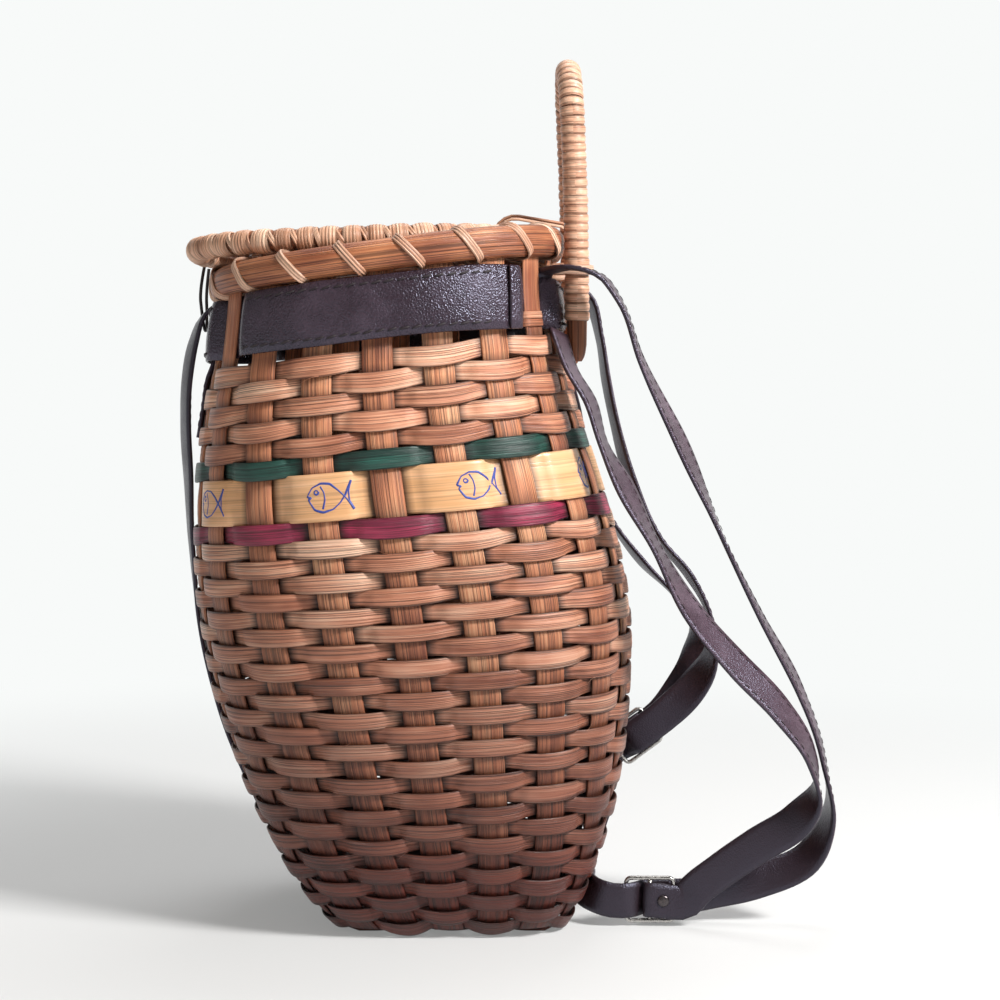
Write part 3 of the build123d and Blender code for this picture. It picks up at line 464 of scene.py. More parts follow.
maroon_reed = reed_material("maroon_reed", "#671030", "#a82c50", "#cc5a7c", rough=0.4)
cream_reed = reed_material("cream_reed", "#cf9d6e", "#e3b388", "#f0caa2", fibre=1300.0, rough=0.34,
                           depth=0.03, streak=0.4, lines=0.82)
green_reed = reed_material("green_reed", "#10302a", "#22574c", "#4b8578", rough=0.4)
for name, first, last, material, slot in (
        ("weavers_foot", 0, 8, natural_reed, "reed"),
        ("weavers_lower", 8, 16, natural_reed, "reed"),
        ("weavers_middle", 16, 25, natural_reed, "reed"),
        ("weaver_maroon", 25, 26, maroon_reed, "reed_maroon"),
        ("weaver_cream", 26, 27, cream_reed, "reed_cream"),
        ("weaver_green", 27, 28, green_reed, "reed_green"),
        ("weavers_upper", 28, 33, natural_reed, "reed")):
    woven = reed_mesh(name + "_reed", [row_strand(row) for row in range(first, last)])
    woven.data.materials.append(material)
    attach(woven, "basket")
    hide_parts(name)


# ------------------------------------------------------------------ loose fibres
# Here and there a fibre has split off the edge of a row's reed and stands up from it. They are
# three-sided whiskers of the same reed, 3 to 9 mm long and under half a millimetre thick.
fibre_count, fibre_thick = 64, 0.22
chance = random.Random(77)
sides = ((0, -1, 0), (0.6, 0.5, -0.8), (-0.6, 0.5, 0.8))
frays = []
for row in [chance.choice([r for r in range(6, 33) if r != cream_row]) for _ in range(fibre_count)]:
    place = 10 + chance.uniform(0, 10) + (20 if chance.random() < 0.5 else 10) * (chance.random() < 0.4)
    way, long = chance.choice((-1, 1)), chance.uniform(3.0, 9.0)
    edge, lift = chance.choice((-1, 1)), chance.uniform(0.25, 0.8)
    pitch = wall_pitch(rows[row])
    steps = np.linspace(0, 1, 7)
    spine = reed_points(row, place + way * long * steps / pitch, edge * (0.9 + lift * steps ** 2), 0.7)
    spine = spine + np.outer(steps ** 2, (0.0, -0.5, 0.35 * edge)) * lift * long * 0.4
    thin = fibre_thick * (1 - 0.7 * steps)[:, None]
    frays.append((np.stack([spine + np.array(side) * thin for side in sides], axis=1), False, 1.0))
fray = reed_mesh("loose_fibres", frays)
fray.data.materials.append(natural_reed)
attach(fray, "basket")


# ------------------------------------------------------------------ fish on the cream row
# Where the cream row passes outside, a small plain fish is drawn on it by hand in blue ink, except
# under the front strap and in the middle of the back. It is only an outline: body, mouth, gill, eye
# and tail, a little different each time.
pen_wide = 1.15


def ink_line(place, bend, points, seed):
    """A pen line on the cream reed, through points in millimetres along it and up it."""
    points = np.array(points, float)
    run = round_off(np.concatenate([points, 0 * points[:, :1]], axis=1))
    fine = np.linspace(0, run[-1], max(int(run[-1] / 0.5), 8))
    u, v = np.interp(fine, run, points[:, 0]), np.interp(fine, run, points[:, 1])
    soft = np.array([0.25, 0.5, 0.25])
    for _ in range(2):
        u[1:-1], v[1:-1] = np.convolve(u, soft, "valid"), np.convolve(v, soft, "valid")
    wobble = random.Random(seed)
    phase = wobble.uniform(0, 6)
    v = v + 0.18 * np.sin(fine / 2.3 + phase)
    heading = np.stack([np.gradient(u), np.gradient(v)], axis=1)
    heading /= np.linalg.norm(heading, axis=1)[:, None]
    press = pen_wide / 2 * (0.9 + 0.25 * np.sin(fine / 3.1 + phase * 2))
    pitch, half = wall_pitch(rows[cream_row]), (rows[cream_row + 1] - rows[cream_row]) / 2 * 0.95
    rings = []
    for side, out in ((1, 0.3), (0.8, 0.66), (-0.8, 0.66), (-1, 0.3)):
        su, sv = u - side * press * heading[:, 1], v + side * press * heading[:, 0] + bend * u
        rings.append(reed_points(cream_row, place + su / pitch, sv / half, out))
    return np.stack(rings, axis=1), False, 1.0


def fish(place, seed):
    """One small fish that looks to the left."""
    wobble = random.Random(seed)
    long, tall, bend = wobble.uniform(0.94, 1.04), wobble.uniform(0.92, 1.05), wobble.uniform(-0.02, 0.05)

    def put(points):
        """The points at this fish's own length and height."""
        return [(x * long, y * tall) for x, y in points]

    back = put([(-11.5, 1.6), (-9.0, 5.2), (-4.5, 7.0), (0.5, 6.2), (5.0, 2.8), (8.0, -0.4), (11.8, -6.6)])
    belly = put([(-11.2, -1.4), (-8.6, -5.4), (-4.0, -7.2), (1.0, -6.0), (5.2, -2.6), (8.2, 0.8),
                 (11.6, 7.2)])
    tail = put([(11.6, 7.2), (9.9, 2.6), (9.8, -2.2), (11.8, -6.6)])
    mouth = put([(-11.5, 1.6), (-12.3, 0.6), (-9.6, 0.1), (-11.6, -0.6), (-11.2, -1.4)])
    gill = put([(-4.6, 5.6), (-3.0, 2.6), (-2.7, -1.2), (-4.2, -5.4)])
    eye = put([(-7.0 + 1.25 * math.cos(a), 2.6 + 1.25 * math.sin(a)) for a in np.linspace(0.4, 6.5, 14)])
    return [ink_line(place, bend, line, seed + k) for k, line in
            enumerate((back, belly, tail, mouth, gill, eye))]


# Pen ink soaked into the reed: a plain blue with the reed's soft sheen, a little paler in places.
blue_ink, tree, output = new_material("blue_ink")
where = node(tree, "ShaderNodeTexCoord")
pale = node(tree, "ShaderNodeTexNoise", {"Vector": where.outputs["Object"], "Scale": 500.0, "Detail": 2.0})
tone = node(tree, "ShaderNodeMix", {0: pale.outputs["Fac"], 6: linear("#26378c"), 7: linear("#4058a8")},
            data_type="RGBA")
surface = node(tree, "ShaderNodeBsdfPrincipled", {"Base Color": tone.outputs[2], "Roughness": 0.45})
tree.links.new(surface.outputs[0], output.inputs["Surface"])
fish_places = ((2, -0.2), (4, 0), (6, 0), (8, 0), (12, 0.02), (14, 0.16), (16, 0.34), (18, 0.5))
drawn = [line for place, nudge in fish_places for line in fish(place + nudge, 900 + place * 10)]
shoal = reed_mesh("fish_drawings", drawn)
shoal.data.materials.append(blue_ink)
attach(shoal, "basket")


# ------------------------------------------------------------------ rim
# Two half-round reeds follow the stake tops, one outside and one inside, and a flat cane
# lashes them together in slanting turns between the stakes.
rim_high, rim_thick, rim_seat = 16.8, 7.0, 1.1
lash_turns, lash_wide, lash_thick, slant = 18, 4.8, 0.8, 0.62


def follow(points, closed=False):
    """Unit directions along a line of points, open at its ends or closed."""
    if closed:
        run = np.roll(points, -1, axis=0) - np.roll(points, 1, axis=0)
    else:
        run = np.gradient(points, axis=0)
    return run / np.linalg.norm(run, axis=1)[:, None]


def repeat_tree():
    """Geometry nodes that set a shape at even steps along lines: x along the line, z to its face."""
    group = bpy.data.node_groups.new("set_along", "GeometryNodeTree")
    face = group.interface
    face.new_socket("Geometry", in_out="INPUT", socket_type="NodeSocketGeometry")
    for label, kind in (("Shape", "NodeSocketObject"), ("Spacing", "NodeSocketFloat"),
                        ("Slant", "NodeSocketFloat"), ("Sway", "NodeSocketFloat"),
                        ("Size Change", "NodeSocketFloat"), ("Seed", "NodeSocketInt"),
                        ("Material", "NodeSocketMaterial")):
        face.new_socket(label, in_out="INPUT", socket_type=kind)
    face.new_socket("Geometry", in_out="OUTPUT", socket_type="NodeSocketGeometry")
    given = group.nodes.new("NodeGroupInput").outputs
    line = node(group, "GeometryNodeMeshToCurve", {"Mesh": given["Geometry"]})
    steps = node(group, "GeometryNodeResampleCurve", {"Curve": line.outputs[0], "Length": given["Spacing"]},
                 mode="LENGTH")
    shape = node(group, "GeometryNodeObjectInfo", {"Object": given["Shape"]})
    heading = node(group, "FunctionNodeAlignRotationToVector", {
        "Vector": node(group, "GeometryNodeInputTangent").outputs[0]}, axis="X")
    outward = node(group, "GeometryNodeInputNamedAttribute", {"Name": "face"}, data_type="FLOAT_VECTOR")
    stood = node(group, "FunctionNodeAlignRotationToVector", {
        "Rotation": heading.outputs[0], "Vector": outward.outputs[0]}, axis="Z", pivot_axis="X")
    sway = node(group, "ShaderNodeVectorMath", {0: given["Sway"], 1: (-1.0, -1.0, -1.0)},
                operation="MULTIPLY")
    turn = node(group, "FunctionNodeRandomValue", {
        "Min": sway.outputs[0], "Max": given["Sway"], "Seed": given["Seed"]}, data_type="FLOAT_VECTOR")
    slant = node(group, "ShaderNodeCombineXYZ", {"Z": given["Slant"]})
    leaned = node(group, "ShaderNodeVectorMath", {0: turn.outputs[0], 1: slant.outputs[0]}, operation="ADD")
    facing = node(group, "FunctionNodeRotateRotation", {
        "Rotation": stood.outputs[0],
        "Rotate By": node(group, "FunctionNodeEulerToRotation", {0: leaned.outputs[0]}).outputs[0]},
        rotation_space="LOCAL")
    least = node(group, "ShaderNodeMath", {0: 1.0, 1: given["Size Change"]}, operation="SUBTRACT")
    most = node(group, "ShaderNodeMath", {0: 1.0, 1: given["Size Change"]}, operation="ADD")
    size = node(group, "FunctionNodeRandomValue", {
        "Min": least.outputs[0], "Max": most.outputs[0], "Seed": given["Seed"]}, data_type="FLOAT")
    set_down = node(group, "GeometryNodeInstanceOnPoints", {
        "Points": steps.outputs[0], "Instance": shape.outputs["Geometry"],
        "Rotation": facing.outputs[0], "Scale": size.outputs["Value"]})
    mark = node(group, "FunctionNodeRandomValue", {"Seed": given["Seed"]}, data_type="FLOAT")
    marked = node(group, "GeometryNodeStoreNamedAttribute", {
        "Geometry": set_down.outputs[0], "Name": "strand", "Value": mark.outputs["Value"]},
        data_type="FLOAT", domain="INSTANCE")
    real = node(group, "GeometryNodeRealizeInstances", {"Geometry": marked.outputs[0]})
    coated = node(group, "GeometryNodeSetMaterial", {
        "Geometry": real.outputs[0], "Material": given["Material"]})
    group.links.new(coated.outputs[0], group.nodes.new("NodeGroupOutput").inputs[0])
    return group


set_along = repeat_tree()


def repeated(name, lines, shape, spacing, material, slant=0.0, sway=0.0, size_change=0.0, seed=1):
    """A mesh of one shape set along lines; each line is its points and its face directions, in mm."""
    points, edges, faces = [], [], []
    for line, outward in lines:
        first = len(points)
        points += [tuple(p) for p in np.asarray(line) * mm]
        faces += [tuple(d) for d in outward]
        edges += [(first + i, first + i + 1) for i in range(len(line) - 1)]
    mesh = bpy.data.meshes.new(name + "_line")
    mesh.from_pydata(points, edges, [])
    attribute = mesh.attributes.new("face", "FLOAT_VECTOR", "POINT")
    attribute.data.foreach_set("vector", np.array(faces, np.float32).ravel())
    carrier = bpy.data.objects.new(name + "_line", mesh)
    scene.collection.objects.link(carrier)
    modifier = carrier.modifiers.new("set_along", "NODES")
    modifier.node_group = set_along
    values = {"Shape": shape, "Spacing": spacing * mm, "Slant": slant, "Sway": sway,
              "Size Change": size_change, "Seed": seed, "Material": material}
    for item in set_along.interface.items_tree:
        if item.in_out == "INPUT" and item.name in values:
            modifier[item.identifier] = values[item.name]
    done = bpy.data.meshes.new_from_object(carrier.evaluated_get(bpy.context.evaluated_depsgraph_get()))
    done.name = name
    carrier.modifiers.clear()
    bpy.data.objects.remove(carrier)
    bpy.data.objects.remove(shape)
    made = bpy.data.objects.new(name, done)
    made.data.shade_smooth()
    scene.collection.objects.link(made)
    return made


def cane_ring(name, outline, width, thick, crown=0.25, ridges=1):
    """One turn of cane round an outline in the y-z plane, its width along x, to be repeated."""
    outline = np.asarray(outline, float)
    before, after = np.roll(outline, 1, axis=0), np.roll(outline, -1, axis=0)
    run = after - before
    normal = np.stack([run[:, 1], -run[:, 0]], axis=1) / np.linalg.norm(run, axis=1)[:, None]
    half = width / 2
    # Painted shade: each turn of cane is darker at its edges and in the grooves between its ridges.
    profile = [(-half, 0.0, 0.5)]
    for k in range(ridges):
        for part, rise, shade in ((0.08, 0.5, 0.6), (0.3, 1.0, 1.0), (0.7, 1.0, 1.0), (0.92, 0.5, 0.6)):
            across = (2 * (k + part) / ridges - 1) * half
            profile.append((across, thick * (rise * 0.8 + crown * (1 - (across / half) ** 2)), shade))
    profile.append((half, 0.0, 0.5))
    grid = np.array([[(x, *(point + normal_at * out)) for x, out, shade in profile]
                     for point, normal_at in zip(outline, normal)])
    made = reed_mesh(name, [(grid, True, np.array([[shade for x, out, shade in profile]]))])
    made.data.attributes.remove(made.data.attributes["strand"])
    return made


rim_reed = reed_material("rim_reed", "#84472c", "#c07c52", "#e4ab80", fibre=1500.0, rough=0.42, depth=0.2)
pale_cane = reed_material("pale_cane", "#c28e72", "#ebc0a4", "#ffe0c8", fibre=1800.0, rough=0.4, depth=0.08,
                          lines=0.6)
ring_places = np.arange(stake_count * 14) / 14
for name, side in (("rim_reed_outer", 1), ("rim_reed_inner", -1)):
    grid = []
    for z, share in [(-1.0, 0.0), (-0.97, 0.34), (-0.85, 0.62), (-0.6, 0.86), (-0.25, 0.98), (0.12, 1.0),
                     (0.48, 0.92), (0.76, 0.7), (0.93, 0.42), (1.0, 0.0)]:
        out = side * (rim_seat + rim_thick * share) + drift(400 + side, ring_places, 0.25) * share
        line = wall_line(rim_height + z * rim_high / 2, ring_places)
        skin = wall_line(rim_height + z * rim_high / 2, ring_places, 1.0) - line
        grid.append(line + skin * out[:, None])
    reed = reed_mesh(name + "_reed", [(np.stack(grid, axis=1), True, 1.0)])
    reed.data.materials.append(rim_reed)
    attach(reed, "basket")
    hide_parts(name)

turn_out, turn_high = rim_seat + rim_thick + 0.25, rim_high / 2 + 0.3
outline = [(turn_high / math.cos(slant) * math.copysign(abs(math.cos(a)) ** 0.62, math.cos(a)),
            turn_out * math.copysign(abs(math.sin(a)) ** 0.8, math.sin(a)))
           for a in (2 * math.pi * k / 28 for k in range(28))]
lash_places = np.linspace(1.5, 18.5, 240)
middle_line = wall_line(rim_height, lash_places)
lash_face = wall_line(rim_height, lash_places, 1.0) - middle_line
length = round_off(middle_line)[-1]
turn = cane_ring("turn", outline, lash_wide, lash_thick, crown=0.35, ridges=3)
lashing = repeated("rim_lashing_cane", [(middle_line, lash_face)], turn,
                   length / (lash_turns - 1) - 0.001, pale_cane, slant=slant, sway=0.05,
                   size_change=0.01, seed=4)
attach(lashing, "basket")
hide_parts("rim_lashing")


# ------------------------------------------------------------------ neck band
# A band of dark purple-brown cowhide under the rim, sewn along both edges with thick thread.
# It lies over the stakes but passes behind the four corner ones, which hold it like belt loops.
band_low, band_high, leather_thick = 316.0, 349.6, 2.2
band_drop, foot_drop, front_dip = 11.3, 2.8, 3.4
lap_first, lap_last, corner_stakes = 17.18, 17.5, (2, 8, 12, 18)
thread_long, thread_thick, thread_step = 5.4, 1.15, 6.3


def leather_material(name, face, worn, back, rough=0.42, grain=900.0, depth=0.35):
    """Grained leather: pores and creases in its face, paler where it is rubbed, a rough dark back.
    Its pores are about a millimetre apart, wider than in real cowhide, so that they show."""
    material, tree, output = new_material(name)
    where = node(tree, "ShaderNodeTexCoord")
    shade = node(tree, "ShaderNodeAttribute", attribute_name="shade")
    cells = node(tree, "ShaderNodeTexVoronoi", {"Vector": where.outputs["Object"], "Scale": grain})
    pores = node(tree, "ShaderNodeTexNoise", {"Vector": where.outputs["Object"], "Scale": grain * 1.6,
                                              "Detail": 3.0})
    creases = node(tree, "ShaderNodeTexNoise", {"Vector": where.outputs["Object"], "Scale": 70.0,
                                                "Detail": 4.0, "Distortion": 0.6})
    rubs = node(tree, "ShaderNodeTexNoise", {"Vector": where.outputs["Object"], "Scale": 28.0,
                                             "Detail": 5.0, "Roughness": 0.65})
    high = node(tree, "ShaderNodeMix", {0: 0.45, 2: cells.outputs["Distance"], 3: pores.outputs["Fac"]})
    relief = node(tree, "ShaderNodeMix", {0: 0.3, 2: high.outputs[0], 3: creases.outputs["Fac"]})
    wear = node(tree, "ShaderNodeMapRange", {"Value": rubs.outputs["Fac"], "From Min": 0.48,
                                             "From Max": 0.72, "To Max": 0.75})
    skin = node(tree, "ShaderNodeMix", {0: wear.outputs[0], 6: linear(face), 7: linear(worn)},
                data_type="RGBA")
    # Painted shade and light: the colour follows the relief of the grain, darker in its hollows and paler
    # on its raised tops.
    pored = node(tree, "ShaderNodeMapRange", {"Value": high.outputs[0], "From Min": 0.15, "From Max": 0.6,
                                              "To Min": 0.55, "To Max": 1.15})
    grained = node(tree, "ShaderNodeMix", {0: 1.0, 6: skin.outputs[2], 7: pored.outputs[0]},
                   data_type="RGBA", blend_type="MULTIPLY")
    sided = node(tree, "ShaderNodeMix", {0: shade.outputs["Fac"], 6: linear(back), 7: grained.outputs[2]},
                 data_type="RGBA")
    bump = node(tree, "ShaderNodeBump", {"Height": relief.outputs[0], "Strength": 0.8,
                                         "Distance": depth * mm})
    gloss = node(tree, "ShaderNodeMapRange", {"Value": rubs.outputs["Fac"], "From Min": 0.3,
                                              "From Max": 0.7, "To Min": rough - 0.06,
                                              "To Max": rough + 0.12})
    surface = node(tree, "ShaderNodeBsdfPrincipled", {
        "Base Color": sided.outputs[2], "Roughness": gloss.outputs[0], "Normal": bump.outputs[0],
        "Specular IOR Level": 0.7, "Specular Tint": linear("#dde2ff")})
    tree.links.new(surface.outputs[0], output.inputs["Surface"])
    return material


cowhide = leather_material("cowhide", "#2f2229", "#4a3c47", "#1d1418", rough=0.23, depth=0.9)


def band_surface(places, across, out):
    """Points of the band: across it from 0, its lower edge, to 1, and out from its middle."""
    places = np.asarray(places, float)
    back = np.maximum(wall_line(band_low, places)[:, 0] + 36.2, 0) / 90.0
    front = np.clip(1.45 - np.abs(places - 10), 0, 1)
    low = band_low - foot_drop * back ** 2
    high = band_high - band_drop * back ** 5 - front_dip * front * front * (3 - 2 * front)
    stand = np.full(len(places), 5.1)
    for corner in corner_stakes:
        away = np.abs((places - corner + 10) % 20 - 10)
        part = np.clip((away - 0.36) / 0.3, 0, 1)
        stand = np.minimum(stand, -2.3 + 7.4 * part * part * (3 - 2 * part))
    stand = stand + drift(500, places, 0.55) + 1.1 * np.sin(math.pi * across) + out
    wander = drift(501, places, 0.5) * (across - 0.5) * 2
    height = low + (high - low) * across + wander
    found = np.empty((len(places), 3))
    for i, (place, h) in enumerate(zip(places, height)):
        found[i] = wall_line(h, [place], stand[i])[0]
    return found


def leather_profile(thick, bands=7):
    """Corners of a strip of leather: across it and out from its middle, with rounded edges."""
    half = thick / 2
    outer = [(0.0, 0.0), (0.012, half * 0.8)] + [(k / bands, half) for k in range(1, bands)]
    inner = [(1.0, 0.0), (0.988, -half * 0.8)] + [(1 - k / bands, -half) for k in range(1, bands)]
    return outer + [(0.988, half * 0.8)] + inner + [(0.012, -half * 0.8)]


band_places = np.arange(240) / 12
profile = leather_profile(leather_thick)
grid = np.stack([band_surface(band_places, across, out) for across, out in profile], axis=1)
faced = np.array([[1.0 if out > 0 else 0.0 for across, out in profile]])
band = reed_mesh("neck_band_leather", [(grid, True, faced)])
band.data.materials.append(cowhide)
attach(band, "basket")
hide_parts("neck_band")

lap_places = np.linspace(lap_first, lap_last, 12)
over = leather_thick + 0.2
grid = np.stack([band_surface(lap_places, across, out + over) for across, out in profile], axis=1)
lap = reed_mesh("neck_band_lap_leather", [(grid, False, faced)])
lap.data.materials.append(cowhide)
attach(lap, "basket")
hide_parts("neck_band_lap")


def stitch_shape(name, length, thick):
    """One stitch of thread, a little bowed, to be repeated."""
    grid = []
    for k in range(7):
        part = k / 6
        round_at = thick / 2 * math.sqrt(max(1 - (2 * part - 1) ** 4, 0.02))
        grid.append([(length * (part - 0.5), round_at * math.cos(a), round_at * math.sin(a)
                      + 0.3 * thick * (1 - (2 * part - 1) ** 2))
                     for a in (math.pi / 3 * j for j in range(6))])
    made = reed_mesh(name, [(np.array(grid), False, 1.0)])
    made.data.attributes.remove(made.data.attributes["strand"])
    return made


def thread_material(name, colour, light):
    """Waxed thread with a tight twist."""
    material, tree, output = new_material(name)
    along = node(tree, "ShaderNodeUVMap", uv_map="along")
    # Painted shade: the twist is drawn as darker and lighter diagonal bands along the thread, with no
    # relief of its own.
    twist = node(tree, "ShaderNodeTexWave", {"Vector": along.outputs[0], "Scale": 900.0},
                 bands_direction="DIAGONAL")
    tone = node(tree, "ShaderNodeMix", {0: twist.outputs["Fac"], 6: linear(colour), 7: linear(light)},
                data_type="RGBA")
    surface = node(tree, "ShaderNodeBsdfPrincipled", {"Base Color": tone.outputs[2], "Roughness": 0.6})
    tree.links.new(surface.outputs[0], output.inputs["Surface"])
    return material


dark_thread = thread_material("waxed_thread", "#1a1317", "#33292e")
seams = []
for across in (0.12, 0.88):
    for first, last in ((2.75, 7.25), (8.75, 11.25), (12.75, 16.8), (18.7, 21.3)):
        places = np.linspace(first, last, int((last - first) * 14))
        line = band_surface(places, across, leather_thick / 2 + 0.05)
        seams.append((line, band_surface(places, across, leather_thick / 2 + 1.05) - line))
stitch = stitch_shape("band_stitch", thread_long, thread_thick)
thread = repeated("band_stitches", seams, stitch, thread_step, dark_thread, slant=0.2, sway=0.06,
                  size_change=0.08, seed=9)
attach(thread, "basket")


# ------------------------------------------------------------------ corner stake tie
# Two turns of narrow reed cross the near back corner stake where it passes over the band's
# lower edge.
corner = corner_stakes[-1]
tie_heights = (316.9, 320.9)
reach = (stake_half + 1.0) / wall_pitch(318.0)
tie_places = np.linspace(corner - reach, corner + reach, 16)
tie_profile = ((-2.0, -0.3), (-1.7, 0.4), (0.0, 0.6), (1.7, 0.4), (2.0, -0.3), (0.0, -0.6))
tied = []
for height in tie_heights:
    skin = wall_line(height, tie_places, 1.0) - wall_line(height, tie_places)
    over = 1.9 - 3.2 * np.abs((tie_places - corner) / reach) ** 8
    tied.append((np.stack([wall_line(height + side, tie_places) + skin * (over + lift)[:, None]
                           for side, lift in tie_profile], axis=1), False, 1.0))
tie = reed_mesh("corner_stake_tie", tied)
tie.data.materials.append(natural_reed)
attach(tie, "basket")


# ------------------------------------------------------------------ front strap
# A leather strap up the middle of the front. It starts at the foot, goes over the band
# and down behind it, and its tail shows below. Straps are two plies sewn along both edges.
strap_width, strap_thick, strap_step, strap_ripple = 19.0, 2.4, 3.0, 0.35
seam_in, seam_skip, seam_long, seam_thick, seam_step = 2.6, 4.0, 3.6, 0.42, 5.4
strap_leather = leather_material("strap_leather", "#44333c", "#6a5863", "#251a1f", rough=0.34,
                                 grain=1100.0, depth=0.5)


def smooth_route(stops):
    """A smooth line through stops, with the smoothly turning way that the strap's width runs."""
    points = np.array([stop[0] for stop in stops], float)
    wide = np.array([stop[1] for stop in stops], float)
    wide /= np.linalg.norm(wide, axis=1)[:, None]
    widths = np.array([stop[2] if len(stop) > 2 else strap_width for stop in stops], float)
    t = round_off(points)
    values = np.concatenate([points, wide, widths[:, None]], axis=1)
    slopes = np.gradient(values, t, axis=0)
    fine = np.unique(np.concatenate([np.linspace(a, b, max(int((b - a) / strap_step), 3))
                                     for a, b in zip(t, t[1:])]))
    i = np.clip(np.searchsorted(t, fine, side="right") - 1, 0, len(t) - 2)
    h = (t[i + 1] - t[i])[:, None]
    s = ((fine - t[i]) / (t[i + 1] - t[i]))[:, None]
    made = (2 * s ** 3 - 3 * s ** 2 + 1) * values[i] + (s ** 3 - 2 * s ** 2 + s) * h * slopes[i] \
        + (3 * s ** 2 - 2 * s ** 3) * values[i + 1] + (s ** 3 - s ** 2) * h * slopes[i + 1]
    return made[:, :3], made[:, 3:6], made[:, 6]


def strap_frame(stops):
    """A strap's middle line, the way its width runs, the way its face looks, and its width."""
    points, wide, widths = smooth_route(stops)
    run = follow(points)
    wide = wide - run * np.sum(run * wide, axis=1)[:, None]
    wide /= np.linalg.norm(wide, axis=1)[:, None]
    return points, wide, np.cross(run, wide), widths


def strap_strand(stops, outer, seed):
    """A strap along its stops; outer is 1 or -1, the side of its frame that the good face is on."""
    points, wide, out, widths = strap_frame(stops)
    along = round_off(points)
    chance = random.Random(seed)
    phases = [chance.uniform(0, 6.28) for _ in range(4)]
    wave = strap_ripple * (np.sin(along / 23.0 + phases[0]) + 0.6 * np.sin(along / 9.7 + phases[1]))
    profile = leather_profile(strap_thick, 6)
    grid = []
    for across, thick in profile:
        side = (across - 0.5) * widths * (1 + 0.02 * np.sin(along / 31.0 + phases[2]))
        cup = 0.35 * (2 * across - 1) ** 2 + wave * (across - 0.5) * 1.3
        seam = 0.16 if across in (profile[2][0], profile[6][0]) else 0.0
        lift = outer * (thick - math.copysign(seam, thick)) + outer * cup
        grid.append(points + wide * side[:, None] + out * lift[:, None])
    faced = np.array([[1.0 if thick > 0 else 0.0 for across, thick in profile]])
    return np.stack(grid, axis=1), False, faced


def strap_seams(stops, outer):
    """Both edge seams of a strap's good face."""
    points, wide, out, widths = strap_frame(stops)
    along, face = round_off(points), out * outer
    keep = (along > seam_skip) & (along < along[-1] - seam_skip)
    seam_out = strap_thick / 2 + 0.2
    return [((points + wide * (side * (widths / 2 - seam_in))[:, None] + face * seam_out)[keep], face[keep])
            for side in (-1, 1)]


def make_strap(name, body, replaced, stops, outer, seed):
    """A strap in the place of a CAD node, with the stitches along both its edges."""
    strap = reed_mesh(name, [strap_strand(stops, outer, seed)])
    strap.data.materials.append(strap_leather)
    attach(strap, body)
    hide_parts(replaced)
    stitch = stitch_shape(name + "_stitch", seam_long, seam_thick)
    sewing = repeated(name + "_stitches", strap_seams(stops, outer), stitch, seam_step, dark_thread,
                      slant=0.06, sway=0.05, size_change=0.08, seed=seed)
    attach(sewing, body)


def on_front(height, out):
    """A point out from the middle of the front wall."""
    return tuple(wall_line(height, [10], out)[0])


front = [(on_front(h, out), (-turned, 1, 0)) for h, out, turned in (
    (10.0, 5.0, 0), (18.2, 5.1, 0), (33.8, 5.2, 0), (50.0, 5.2, 0), (66.7, 5.2, 0), (101.0, 5.4, 0),
    (136.1, 5.8, 0.02), (171.6, 6.6, 0.1), (207.1, 7.5, 0.22), (216.0, 8.0, 0.25), (250.2, 10.4, 0.36),
    (280.2, 15.2, 0.45), (306.0, 18.2, 0.45), (330.0, 17.2, 0.38), (342.0, 14.0, 0.25), (347.4, 9.0, 0.1),
    (349.0, 5.4, 0), (345.6, 2.6, 0), (338.0, 2.4, 0), (317.0, 2.4, 0), (308.0, 4.8, 0), (290.0, 5.2, 0),
    (274.0, 5.6, 0))]
make_strap("front_strap_leather", "basket", "front_strap", front, -1, 3)


# ------------------------------------------------------------------ shoulder straps
# Each shoulder strap comes over the band's edge behind the creel and runs down through a buckle
# to the foot of the back. Its other half comes from under the band and is riveted to the buckle.
def over_band_edge(side):
    """Stops of a long strap up behind the band and over its edge; side is -1 near and 1 far."""
    return [((x, side * y, z), (ahead, -side * 0.69, 0), 12.2) for x, y, z, ahead in (
        (49.4, 44.2, 340.2, 0.72), (48.9, 44.0, 349.8, 0.73), (49.6, 44.9, 353.2, 0.73),
        (52.9, 48.4, 354.3, 0.73))]


near_long = over_band_edge(-1) + [
    ((66, -57, 355), (0.3, 1, 0)), ((80, -56, 350), (0.3, 1, 0)), ((89, -55, 338), (0.15, 1, 0.1)),
    ((101, -54, 306), (0.15, 1, 0.1)), ((122, -52, 263), (0.4, 1, 0.2)), ((149, -49, 202), (0.1, 1, 0)),
    ((166, -46, 168), (0.15, 1, 0.1)), ((187, -43, 129), (0.2, 1, 0.2)),
    ((200, -40, 92), (0.2, 1, 0.1)), ((204, -37, 60), (-0.1, 1, 0.5)),
    ((193, -34, 36), (-0.3, 0.7, 0.9)), ((166, -31.5, 23), (-0.2, 0.3, 1)),
    ((142, -30.5, 17), (0, 0, 1)), ((127.8, -31.2, 14.5), (0, 0, 1)), ((110, -31.2, 14.5), (0, 0, 1)),
    ((105.8, -31.8, 14.5), (0, 0, 1)), ((103.6, -33.3, 14.5), (0, 0, 1)),
    ((96.3, -40.8, 14.5), (0, 0, 1)), ((86.2, -40.8, 14.5), (0, 0, 1)), ((80, -40, 16), (0.1, 0, 1)),
    ((72.9, -29, 17.5), (0.44, -0.2, 0.87)), ((73.2, -13.8, 17.5), (0.46, -0.09, 0.88))]
